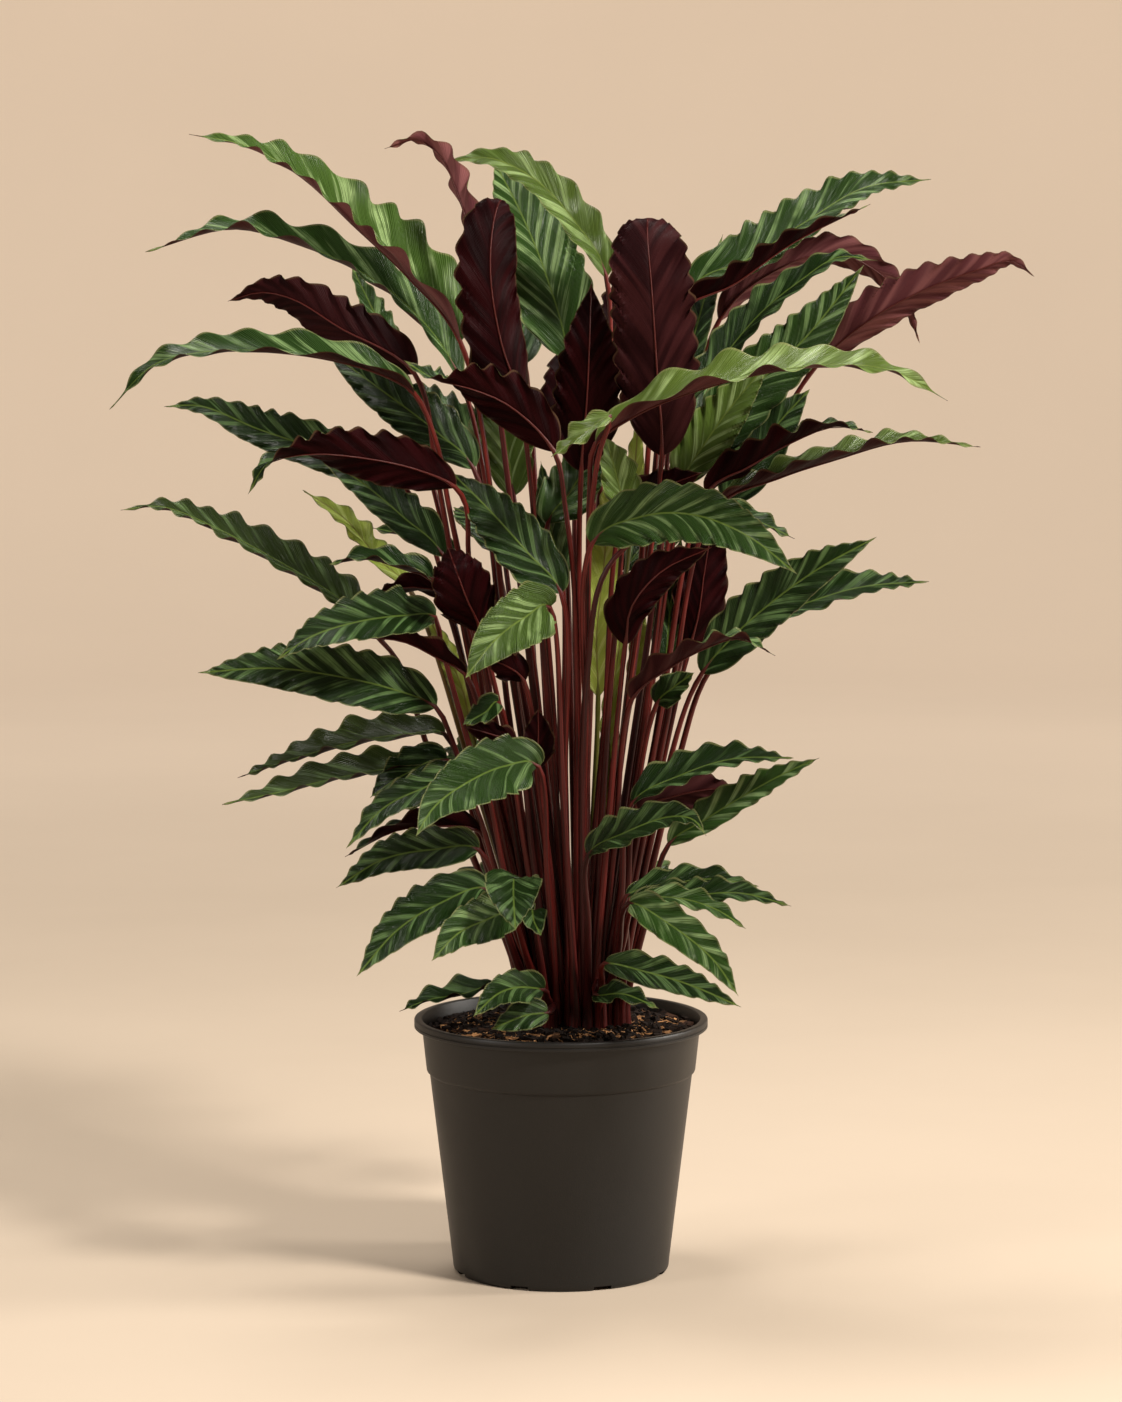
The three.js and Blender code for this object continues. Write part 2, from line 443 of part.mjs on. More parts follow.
// Width of a blade at a share of its length, as a share of its greatest width
function outline(share, fall) {
  if (share < WIDEST_AT) return Math.pow(1 - Math.pow(1 - share / WIDEST_AT, 2), 0.55);
  if (share > TAIL_AT) return (TAIL_WIDTH * (1 - share)) / (1 - TAIL_AT);
  const rest = (share - WIDEST_AT) / (TAIL_AT - WIDEST_AT);
  return TAIL_WIDTH + (1 - TAIL_WIDTH) * (1 - Math.pow(rest, fall));
}

// One leaf: the line of its stalk and midrib, with a frame along it
function leafLine(foot, [width, turnBase, turnTip, blade, stalk = [], fall = POINTED], lean) {
  const ribs = blade.map(seen);
  const base = ribs[0];
  const bottom = new THREE.Vector3(foot[0] + lean, foot[1], SOIL_CROWN + 2);
  const neck = new THREE.Vector3(foot[0] + lean, foot[1], STALK_NECK);
  const bends = stalk.length > 0
    ? stalk.map(seen).reverse()
    : [new THREE.Vector3(
      THREE.MathUtils.lerp(neck.x, base.x, 0.5),
      THREE.MathUtils.lerp(neck.y, base.y, 0.5),
      THREE.MathUtils.lerp(neck.z, base.z, 0.55),
    )];
  const points = [bottom, neck, ...bends, ...ribs];
  const curve = new THREE.CatmullRomCurve3(points);
  curve.arcLengthDivisions = 400;
  const lengths = curve.getLengths();
  const baseShare = (points.length - ribs.length) / (points.length - 1);
  const stalkLength = lengths[Math.round(baseShare * 400)];
  const total = curve.getLength();
  const side = Math.sign(ribs[ribs.length - 1].x - base.x) || 1;
  const late = Math.abs(turnTip - turnBase) > TWIST_FROM ? TWIST_POWER : 1;
  const turn = (share) => THREE.MathUtils.degToRad(
    THREE.MathUtils.lerp(turnBase, turnTip, Math.pow(share, late)),
  );

  function frameAt(distance) {
    const along = Math.min(distance / total, 1);
    const point = curve.getPointAt(along);
    const tangent = curve.getTangentAt(along);
    const share = Math.max(0, (distance - stalkLength) / (total - stalkLength));
    const view = new THREE.Vector3(0, -EYE_BACK, EYE_HEIGHT).sub(point).normalize();
    const level = new THREE.Vector3().crossVectors(tangent, view).multiplyScalar(-side).normalize();
    const facing = new THREE.Vector3().crossVectors(level, tangent).multiplyScalar(-side).normalize();
    const up = facing.multiplyScalar(Math.cos(turn(share)))
      .addScaledVector(level, Math.sin(turn(share)));
    const left = new THREE.Vector3().crossVectors(up, tangent);
    return { point, up, left, turn: turn(share) };
  }
  return { width: width * CM, fall, stalkLength, total, frameAt };
}

// Four corners round a stalk or blade: left edge, top of the rib, right edge, underside of the rib
function corners({ point, up, left }, half, rise, thickness) {
  const at = (across, lift) => point.clone().addScaledVector(left, across).addScaledVector(up, lift);
  return [
    at(half[0], rise[0]),
    at(0, thickness / 2),
    at(-half[1], rise[1]),
    at(0, -thickness / 2),
  ];
}

function leafRings(line, draw) {
  const rings = [];
  for (let i = 0; i < STALK_RINGS; i += 1) {
    const share = i / STALK_RINGS;
    const radius = share < 0.5
      ? THREE.MathUtils.lerp(STALK_FOOT_RADIUS, STALK_MID_RADIUS, share * 2)
      : THREE.MathUtils.lerp(STALK_MID_RADIUS, STALK_TOP_RADIUS, share * 2 - 1);
    rings.push(corners(line.frameAt(share * line.stalkLength), [radius, radius], [0, 0], 2 * radius));
  }
  const bladeLength = line.total - line.stalkLength;
  const count = Math.round(BLADE_RINGS_LEAST + bladeLength / BLADE_RING_PITCH);
  const flip = draw() < 0.5 ? -1 : 1;
  for (let i = 0; i < count; i += 1) {
    const share = i / count;
    const frame = line.frameAt(line.stalkLength + share * bladeLength);
    const shape = outline(share, line.fall);
    const half = Math.max(line.width * shape / 2, STALK_TOP_RADIUS);
    const crest = i % 2 === 0 ? flip : -flip;
    const wave = i === 0 ? 0 : crest * WAVE_SHARE * line.width * Math.sqrt(shape);
    const scallop = i === 0 ? 0 : crest * SCALLOP_SHARE * half;
    const slope = THREE.MathUtils.lerp(FOLD_AT_BASE, FOLD_AT_TIP, share)
      + FOLD_ON_EDGE * Math.pow(Math.sin(frame.turn), 2);
    const fold = slope * (half - STALK_TOP_RADIUS);
    const thickness = i === 0 ? 2 * STALK_TOP_RADIUS : BLADE_THICKNESS;
    rings.push(corners(frame, [half + scallop, half - scallop], [fold + wave, fold - wave], thickness));
  }
  return { rings, tip: line.frameAt(line.total).point };
}

// Skin over the rings. Both faces of a blade are split along the same diagonals.
function leafSolid({ rings, tip }) {
  const vertices = rings.flat().concat(tip);
  const triangles = [3, 2, 1, 3, 1, 0];
  const quad = (a, b, c, d, flipped) => {
    if (flipped) triangles.push(a, b, c, a, c, d);
    else triangles.push(a, b, d, b, c, d);
  };
  for (let i = 0; i + 1 < rings.length; i += 1) {
    const [near, far] = [4 * i, 4 * i + 4];
    quad(near, near + 1, far + 1, far, false);
    quad(near + 1, near + 2, far + 2, far + 1, true);
    quad(near + 2, near + 3, far + 3, far + 2, false);
    quad(near + 3, near, far, far + 3, true);
  }
  const last = 4 * (rings.length - 1);
  for (let k = 0; k < 4; k += 1) {
    triangles.push(last + k, last + ((k + 1) % 4), vertices.length - 1);
  }
  const geometry = new THREE.BufferGeometry().setFromPoints(vertices);
  geometry.setIndex(triangles);
  return solidOf(geometry);
}

function makeShoot([name, colour, foot, leaves], number) {
  const draw = drawNumbers(1000 + 77 * number);
  const place = footPlace(foot);
  let shoot = footPrism(place, FOOT_RADIUS, SOIL_CROWN - HOLE_DEPTH + CLEARANCE, FOOT_TOP, FOOT_NECK);
  leaves.forEach((leaf, i) => {
    const lean = (i - (leaves.length - 1) / 2) * STALK_FOOT_RADIUS;
    shoot = shoot.add(leafSolid(leafRings(leafLine(place, leaf, lean), draw)));
  });
  return namedMesh(`shoot_${name}`, shoot, COLOURS[colour]);
}

const plant = new THREE.Group();
plant.add(makePot(), makeSoil(), ...SHOOTS.map(makeShoot));

export default plant;
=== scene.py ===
"""Potted velvet calathea: fine leaves, stalks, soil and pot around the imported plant, for Blender 4.5.

The leaves follow the same table and rules as the solids. The table is in centimetres and the other
sizes are in millimetres. Meshes are written in metres, +Z up, with the plant's front towards -Y.
"""

import math
import random

import bpy
import numpy as np
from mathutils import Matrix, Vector, noise

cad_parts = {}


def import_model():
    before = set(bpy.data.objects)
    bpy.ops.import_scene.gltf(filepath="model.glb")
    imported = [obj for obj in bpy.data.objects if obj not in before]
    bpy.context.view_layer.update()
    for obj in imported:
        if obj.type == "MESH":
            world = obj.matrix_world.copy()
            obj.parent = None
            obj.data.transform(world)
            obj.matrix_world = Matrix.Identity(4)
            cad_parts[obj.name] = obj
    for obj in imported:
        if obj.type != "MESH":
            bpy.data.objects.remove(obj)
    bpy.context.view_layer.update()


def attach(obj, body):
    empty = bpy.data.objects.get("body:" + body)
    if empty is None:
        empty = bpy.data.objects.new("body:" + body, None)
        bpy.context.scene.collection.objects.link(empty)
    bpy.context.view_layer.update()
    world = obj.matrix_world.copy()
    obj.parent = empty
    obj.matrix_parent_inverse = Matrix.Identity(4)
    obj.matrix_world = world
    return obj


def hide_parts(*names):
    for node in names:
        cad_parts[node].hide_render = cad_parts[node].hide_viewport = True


MM = 0.001

# Pot, as in the solids
POT_HEIGHT = 180
LIP_RADIUS = 103.5
LIP_BOTTOM = 173.5
LIP_GROOVE = 0.5
COLLAR_RADIUS = 98
COLLAR_FOOT_RADIUS = 94.9
COLLAR_FOOT = 143.5
TAPER_TOP_RADIUS = 92.7
TAPER_TOP = 141
TAPER_FOOT_RADIUS = 76.5
TAPER_FOOT = 5
BASE_RADIUS = 74.5
WALL = 1.5
FLOOR = 1.8
POT_SIDES = 192
NOTCH_COUNT = 8
NOTCH_WIDTH = 13
NOTCH_HEIGHT = 3
NOTCH_INNER_RADIUS = 69
NOTCH_DEPTH = 12

# Soil and feet, as in the solids
SOIL_EDGE = 171
SOIL_CROWN = 174.5
CLUMP_X = 10
CLUMP_Y = 10
FOOT_PITCH = 8.8
FOOT_ROW = 7.6
STALK_NECK = 190

# Finer detail of the soil
SOIL_GAP = 0.3
CROWN_RADIUS = COLLAR_RADIUS * 0.6
CROWN_STEP = COLLAR_RADIUS * 0.06
SOIL_SLOPE = COLLAR_RADIUS * 0.4
SOIL_SIDES = 200
SOIL_RINGS = 84
SOIL_MIDDLE_RADIUS = 1.2
LUMP_PITCH = 9
LUMP_HEIGHT = 2.0
GRAIN_PITCH = 2.6
GRAIN_HEIGHT = 0.8
SOIL_SEED = 77
CRUMB_COUNT = 2600
CRUMB_LEAST = 1.1
CRUMB_GROWTH = 3.2
BARK_CHANCE = 0.16
FIBRE_COUNT = 330
FIBRE_SIDES = 5

# Eye that the leaf table was read from
EYE_BACK = 3100
EYE_HEIGHT = 735
CM = 10

# Leaves, as in the solids
STALK_FOOT_RADIUS = 2.6
STALK_MID_RADIUS = 2.4
STALK_TOP_RADIUS = 1.6
BLADE_RINGS_LEAST = 5
BLADE_RING_PITCH = 40
WAVE_SHARE = 0.06
FOLD_AT_BASE = 0.45
FOLD_AT_TIP = 0.15
FOLD_ON_EDGE = 0.45
TWIST_FROM = 80
TWIST_POWER = 3
WIDEST_AT = 0.33
TAIL_AT = 0.96
TAIL_WIDTH = 0.07
POINTED = 2.3
TAPERED = 1.3
BLUNT = 7
DRAW_SEED = 1000
DRAW_SEED_STEP = 77

# Finer detail of the blades; BEND_SHARE is how much of the solids' waves they keep
STATION = 2.1
STATIONS_LEAST = 14
COLUMNS = 20
COLUMN_CROWDING = 0.86
HALF_THICKNESS = 0.3
NECK_SHARE = 0.3
HALF_WIDTH_LEAST = 0.25
FOLD_POWER = 1.25
BEND_POWER = 1.5
BEND_SHARE = 0.5
BLUNT_HOLD = 0.6
GROOVE_DEPTH = 0.3
GROOVE_HALF_WIDTH = 0.8
VEIN_SLANT = 1.25
VEIN_CURVE = 2.6

# Ruffles and scallops; ON_EDGE is what a blade seen on its edge gets on top of the rest
RUFFLE_SEED = 400
FRILL_SHARE = 0.07
FRILL_ON_EDGE = 0.04
FRILL_WIDTH_LEAST = 26
FRILL_WIDTH_MOST = 36
FRILL_PITCH = 16.5
FRILL_PITCH_ON_EDGE = 13
FRILL_PITCH_LEAST = 0.95
FRILL_PITCH_MOST = 1.4
FRILL_INNER = 0.22
FRILL_POWER = 2.8
FRILL_ONSET = 9
FULL_PITCH_LENGTH = 200
SHORT_BLADE = 150
SHORT_FRILL_MOST = 1.35
DRIFT_SHARE = 0.14
DRIFT_RATE = 1.3
STRENGTH_SHARE = 0.25
STRENGTH_RATE = 1.9
SCALLOP_SHARE = 0.15
SCALLOP_POWER = 1.15
SCALLOP_MEAN = 0.6
SCALLOP_FADE = 0.7

# Finer detail of the stalks, which run on as midribs
TUBE_SIDES = 10
TUBE_STEP = 9
TUBE_STEPS_LEAST = 8
CURVE_STEPS = 400
STALK_SUNK = 14
FLARE_ALONE = 1.9
FLARE_SHARED = 1.0
FLARE_HEIGHT = 28
JOINT_SWELL = 0.3
JOINT_BEFORE = 7
JOINT_HALF = 6
RIB_TIP_RADIUS = 0.15
RIB_RADIUS = 0.75
RIB_POWER = 0.8
RIB_NECK_SHARE = 0.07

# Floor with a low round wall far from the plant
STAGE_RADIUS = 5600
STAGE_HEIGHT = 2300
STAGE_THICKNESS = 50
STAGE_SIDES = 128
COVE_RADIUS = 1500
COVE_STEPS = 13

# Camera, worked out from the height mark and the pot's rim and base
CAMERA_TILT = 6.094
CAMERA_LENS = 114.33
CAMERA_SENSOR = 36

# Height that the lamps point at, in metres
LAMP_AIM = 0.42

# A shoot is [colour, [foot column, foot row], leaves]. A leaf is [width, turn at the base, turn at the
# tip, blade points], then if need be the points that its stalk passes, and how it narrows to its tip. A
# point is [across, up, behind]: where it shows in the plane y = 0, and how far behind that plane it lies.
# Turn 0 shows the green face to the front, 90 turns it to the sky and 180 shows the burgundy back.

# Left side, from the top down
LEFT = [
  ["green", [-2, 1], [
    [5.8, 67, 62, [[-7, 65.5, -1], [-10.6, 70, 0], [-14.3, 73.5, 1], [-18, 76.9, 2], [-21.6, 78.9, 2],
      [-25.7, 79.8, 2]], [], TAPERED],
    [3.5, 42, 80, [[-7, 62.9, 3.4], [-10.9, 68.2, 4], [-14.6, 70.7, 4], [-18.1, 72.2, 3], [-22.7, 73.3, 2],
      [-28.8, 71.7, 1]]]]],
  ["burgundy", [-2, 0], [
    [3.7, 165, 150, [[-10.2, 63.3, -2.5], [-15.4, 66.5, -2], [-18.5, 68.4, -1], [-20.8, 68.9, 0],
      [-23.1, 68.3, 1]], [[-8.6, 56, -2.4], [-6.5, 44, -1.35]]],
    [3.0, 72, 52, [[-10.2, 61.9, -5], [-12.8, 63.4, -7], [-18, 64.6, -8], [-24.4, 64.8, -8],
      [-28.2, 63.9, -7.5], [-31.4, 60.8, -7]], [[-8.6, 58.2, -3.4], [-7.8, 54, -2.8]]]]],
  ["green", [-3, 1], [
    [3.8, 12, 20, [[-6.1, 56.7, 1.3], [-8.5, 59.1, 1.8], [-12.7, 62.3, 3], [-16.4, 65, 5]]],
    [3.1, 20, 25, [[-8.2, 50.6, 1], [-11, 53.3, 1], [-14, 55.8, 2], [-17, 57.6, 3]]]]],
  ["green", [-2, 2], [
    [1.9, 15, 30, [[-11.5, 64.5, 7], [-13.2, 68, 9], [-14.6, 70.9, 10]]],
    [3.5, 12, 30, [[-11, 55.5, 5], [-16, 57.7, 6], [-21, 59.4, 7], [-25, 61, 7], [-27.6, 61, 7]]]]],
  ["burgundy", [-3, -1], [
    [3.7, 172, 0, [[-7.4, 55.4, -5], [-10, 56.6, -7], [-13.6, 57.4, -9], [-17.5, 57.7, -10],
      [-20.4, 57, -10.5], [-21.8, 54.9, -10.5]], [[-6.6, 54, -4], [-6.4, 50, -3.6]]],
    [2.4, 60, 70, [[-9, 48.9, -2], [-11, 49.7, -3], [-13.5, 50.4, -3.5], [-16.2, 50, -4]]]]],
  ["yellow", [-3, 2], [
    [2.0, 35, 40, [[-10.6, 48.3, 4], [-12.7, 50.3, 5], [-15, 53.1, 6], [-18, 55.2, 7]]],
    [1.9, 55, 60, [[-7, 49.8, 8.5], [-10, 51.7, 8.5], [-13.3, 52.6, 8.5]]]]],
  ["green", [-4, 2], [
    [2.2, 55, 60, [[-4.6, 20.3, 1], [-7, 19.6, 0], [-9.3, 19.2, -1], [-11.4, 18.4, -2]]],
    [3.4, 45, 60, [[-13.2, 45.3, 5], [-15.5, 47.6, 6], [-19, 49.8, 7], [-24, 52.5, 8], [-27.8, 54, 8.5],
      [-30.7, 53.8, 9]], [[-11.3, 43, 4.5], [-9.3, 37, 3.5]]]]],
  ["green", [-3, 0], [
    [3.6, 30, 20, [[-8.8, 46.3, -3], [-11, 46.4, -5], [-14.5, 45.9, -8], [-17.5, 44.9, -10],
      [-19.9, 43.3, -11]], [[-8.4, 44.5, -2.6]]],
    [2.4, 135, 130, [[-7, 47.3, 0.3], [-9.8, 48.4, 0], [-12.9, 48.1, -0.5]], [[-4.7, 34, 0.85]]]]],
  ["green", [-4, -1], [
    [4.1, 12, 18, [[-8.8, 40, -2], [-12, 41.3, -3], [-16, 42.2, -4], [-20, 42.7, -5], [-25.4, 42.4, -5]],
      [[-8, 38.6, -1.8]]],
    [2.2, 118, 100, [[-6.7, 42.3, -4.5], [-8.5, 43.4, -4.6], [-11, 44.6, -3.5], [-14.3, 44.9, -2]]]]],
  ["green", [-4, 0], [
    [3.2, 50, 65, [[-8.2, 38.1, 1.5], [-10.5, 38.1, 2], [-14.5, 37.5, 3], [-18.5, 36.4, 4],
      [-22.7, 35, 4]]],
    [3.0, 55, 60, [[-9, 35.7, 0], [-12, 35.6, 0], [-16, 34.9, 0], [-20, 33.9, -1], [-23.8, 33.1, -2]]],
    [3.0, 25, 30, [[-8, 36.2, 0], [-11, 35.2, -1.5], [-13.4, 33.6, -3]]]]],
  ["pale", [-2, -3], [
    [4.1, 0, 5, [[-1.6, 35.8, -6], [-4, 35.8, -9], [-7, 34.4, -13], [-9, 32.8, -16], [-10.2, 30.8, -18]]]]],
  ["green", [-3, -2], [
    [2.5, 25, 25, [[-6, 35.2, -4], [-10, 34.1, -7], [-12.5, 32.8, -8], [-15.1, 30, -9]]],
    [2.4, 25, 30, [[-7, 34.3, -3.2], [-10, 33.7, -4.5], [-12.4, 32.4, -5.5]]]]],
  ["green", [-4, -2], [
    [2.3, 125, 75, [[-5.7, 31.2, -2.1], [-8.5, 31.6, -2.6], [-11.5, 31.3, -3], [-15.2, 29.4, -4]]],
    [3.0, 15, 20, [[-5.8, 29.9, -5], [-9, 29.9, -7], [-12.5, 29.2, -9], [-15.8, 27.2, -10]]]]],
  ["green", [-4, -3], [
    [3.4, 12, 15, [[-5.2, 27.1, -5], [-8.5, 26.1, -8], [-11.5, 24.2, -10], [-14.4, 20.9, -12]]]]],
  ["pale", [-3, -3], [
    [3.2, 8, 10, [[-3.6, 25.3, -7], [-5.5, 24.8, -10], [-7.3, 23.9, -12], [-9.1, 22, -14]]],
    [3.8, 0, 0, [[-3.3, 27.8, -8.5], [-3.35, 27, -11], [-3.3, 25.7, -13.5], [-3.2, 24.2, -15]],
      [[-3.3, 24.5, -5]]]]],
  ["green", [-2, -4], [
    [1.8, 10, 20, [[-2, 25.6, -5.5], [-1.9, 24.8, -7.5], [-1.4, 23.8, -9]]],
    [2.4, 8, 12, [[-1.2, 19.9, -6], [-3, 20.1, -8], [-4.5, 19.6, -10], [-6.2, 18, -12]]],
    [2.1, 5, 10, [[-0.9, 18.3, -7], [-2.5, 18.1, -7.6], [-4.9, 17.1, -8]]]]],
]

# Right side, from the top down
RIGHT = [
  ["green", [1, 1], [
    [3.9, 32, 42, [[9, 69.1, 4], [13, 71.2, 5], [17, 73.8, 6], [21, 76.1, 7], [25.6, 76.7, 7]]],
    [2.4, 110, 100, [[8, 67.3, 1], [12, 69.5, 1], [16, 72.3, 1], [21.4, 75, 1]]]]],
  ["green", [2, 0], [
    [2.9, 40, 50, [[8.8, 60.9, -0.2], [11.2, 64.3, 0], [13.9, 67.5, 0], [16.6, 69.7, 0], [19.2, 71.3, 0],
      [21.9, 71.1, 0]]],
    [2.2, 10, 15, [[7.8, 60.5, 4.6], [9.4, 66.5, 6.2], [11.2, 72.9, 8.5]], [[6.3, 42, 2.9]]]]],
  ["burgundy", [2, 2], [
    [2.8, 150, 150, [[11, 67, 7], [15, 70.5, 8], [19, 71.6, 9], [22, 70.3, 9], [23.8, 68.3, 9],
      [24.9, 65.4, 9]]],
    [3.4, 155, 150, [[17.8, 63.9, 4], [21.4, 67, 2], [25, 69, 1], [29, 70.5, 0], [31.2, 71.1, 0],
      [32.8, 70, 0]], [[15, 59.5, 5], [11, 52, 4]]]]],
  ["pale", [2, -1], [
    [4.4, 8, 15, [[9.1, 56.6, -1.6], [11.5, 60, -1.2], [14, 62.9, -0.6], [17, 65.8, 0], [21, 70.8, 1]]],
    [3.5, 8, 15, [[8.4, 55.6, -2], [10, 58.4, -2.1], [12, 61.2, -2.4], [14.4, 64, -2.9]]]]],
  ["yellow", [1, -2], [
    [3.4, 75, 50, [[2.4, 58.4, -7], [5.1, 60.4, -8], [8.7, 61.9, -9], [13.9, 63.3, -9], [19.4, 63.9, -8],
      [23.2, 63.4, -7.5], [26.9, 61.4, -7]], [[2, 55, -5.8], [1.9, 50, -4.8]]],
    [1.8, 35, 50, [[3.4, 60.3, -9.2], [2.2, 59.6, -9.8], [1, 58.7, -10], [-0.7, 57.5, -10]],
      [[2.6, 57.5, -7.6], [2, 52, -5.8]]],
    [2.9, 20, 30, [[4.3, 54.2, -5.4], [3.9, 56, -6], [3.1, 58.9, -7]]]]],
  ["green", [2, 1], [
    [3.9, 10, 15, [[11.6, 54.3, 1.6], [13.3, 57.2, 1.8], [15.2, 59.9, 2], [17.3, 62.2, 2.2]],
      [[9.6, 49, 2.9]]]]],
  ["burgundy", [3, 0], [
    [3.0, 145, 70, [[10.2, 55.1, -3], [13, 56.8, -4], [16, 58.5, -5], [19, 59.6, -6], [21.7, 59.2, -6]]],
    [2.6, 80, 70, [[10.8, 54, -1.5], [15, 56, -2], [19, 57.3, -2.5], [24, 58.6, -2.5],
      [29.2, 58.2, -2.5]]]]],
  ["pale", [0, -3], [
    [4.1, 5, 5, [[2.2, 51.5, -7], [5.5, 53.3, -9], [9, 53.5, -11], [13, 52, -14], [16.5, 49.3, -16]]],
    [2.0, 45, 55, [[8.5, 53.4, -6.5], [12.5, 53.4, -7.5], [16.3, 51.8, -8.5]], [[3.4, 50, -6.3],
      [1.8, 42, -5.4]]]]],
  ["green", [3, -1], [
    [3.7, 10, 20, [[9.9, 42.4, -3], [12, 44.9, -4], [14.8, 47.4, -5], [18, 49.7, -6], [22, 51.9, -6]],
      [[8.5, 39.3, -2.4]]]]],
  ["green", [4, 0], [
    [2.8, 35, 50, [[13.5, 45.8, 1], [17.5, 47.4, 1], [21, 48.4, 1], [25.7, 48.8, 1]], [[10.2, 42.2, 0.6],
      [8.3, 36.5, 0.4]]]]],
  ["burgundy", [3, 1], [
    [3.8, 172, 170, [[9, 44.2, 1], [9.6, 46.5, 0.5], [10, 49.5, 0.5], [10.8, 54, 1]], [[8.2, 41, 1]]],
    [2.6, 15, 20, [[7.3, 42.8, 1.2], [7.6, 46.5, 1.6], [8.4, 52, 2]]]]],
  ["burgundy", [1, -3], [
    [3.2, 165, 160, [[4.5, 44.4, -6], [4.9, 47, -7], [7, 49.5, -7.5], [10.5, 51.2, -8]]]]],
  ["burgundy", [2, -2], [
    [2.6, 115, 75, [[5, 40.6, -5], [7.5, 42.7, -7], [10, 44.1, -8.5], [12.5, 44.8, -9.5], [15, 43.6, -10]]],
    [2.2, 10, 20, [[6.7, 40.2, -2], [7.8, 41.3, -3], [9.3, 42.4, -4]]]]],
  ["green", [3, -2], [
    [2.8, 40, 50, [[5, 33.2, -5], [8.5, 35.2, -6], [12, 36.3, -7], [16.3, 36.4, -8]]],
    [3.0, 158, 160, [[5.5, 32.7, -3], [8, 33.7, -3.3], [10.5, 34.2, -3.5], [12.4, 34.2, -3.6]]]]],
  ["pale", [4, -2], [
    [2.5, 25, 30, [[7.6, 30.3, -4], [10.1, 32, -5], [12.8, 33.7, -6], [15.7, 35.3, -7],
      [18.1, 36.4, -8]]]]],
  ["green", [1, -4], [
    [2.7, 40, 30, [[1.9, 29.5, -8], [4.5, 31.1, -11], [7.5, 32.2, -13], [9.3, 32, -15],
      [10.2, 30.9, -16]]]]],
  ["green", [3, -3], [
    [2.2, 35, 45, [[4.6, 26.6, -5], [7, 27.3, -5.2], [10.5, 27.8, -5.6], [13.9, 27.3, -6]]],
    [2.2, 35, 40, [[5, 26.1, -7], [9, 26.6, -8], [12.6, 26.8, -8.6], [16.2, 25.9, -9.4]]]]],
  ["pale", [2, -3], [
    [1.8, 35, 40, [[5.5, 26.3, -9], [8.5, 26.4, -10], [11, 25.6, -10.8], [13, 24.3, -11.6]]],
    [2.6, 14, 10, [[4.8, 26.1, -10.5], [7.5, 24.7, -13], [10.6, 22.2, -15], [12.5, 19.5, -17]]]]],
  ["green", [2, -4], [
    [2.4, 22, 20, [[3.1, 21.8, -8], [6, 21.2, -10], [9, 20.3, -11.5], [12.7, 18.7, -13]]],
    [1.7, 30, 40, [[2.4, 19.6, -4.6], [4.5, 19.6, -7], [6.9, 18.6, -8]], [[2.6, 20.5, -3.1]]]]],
]

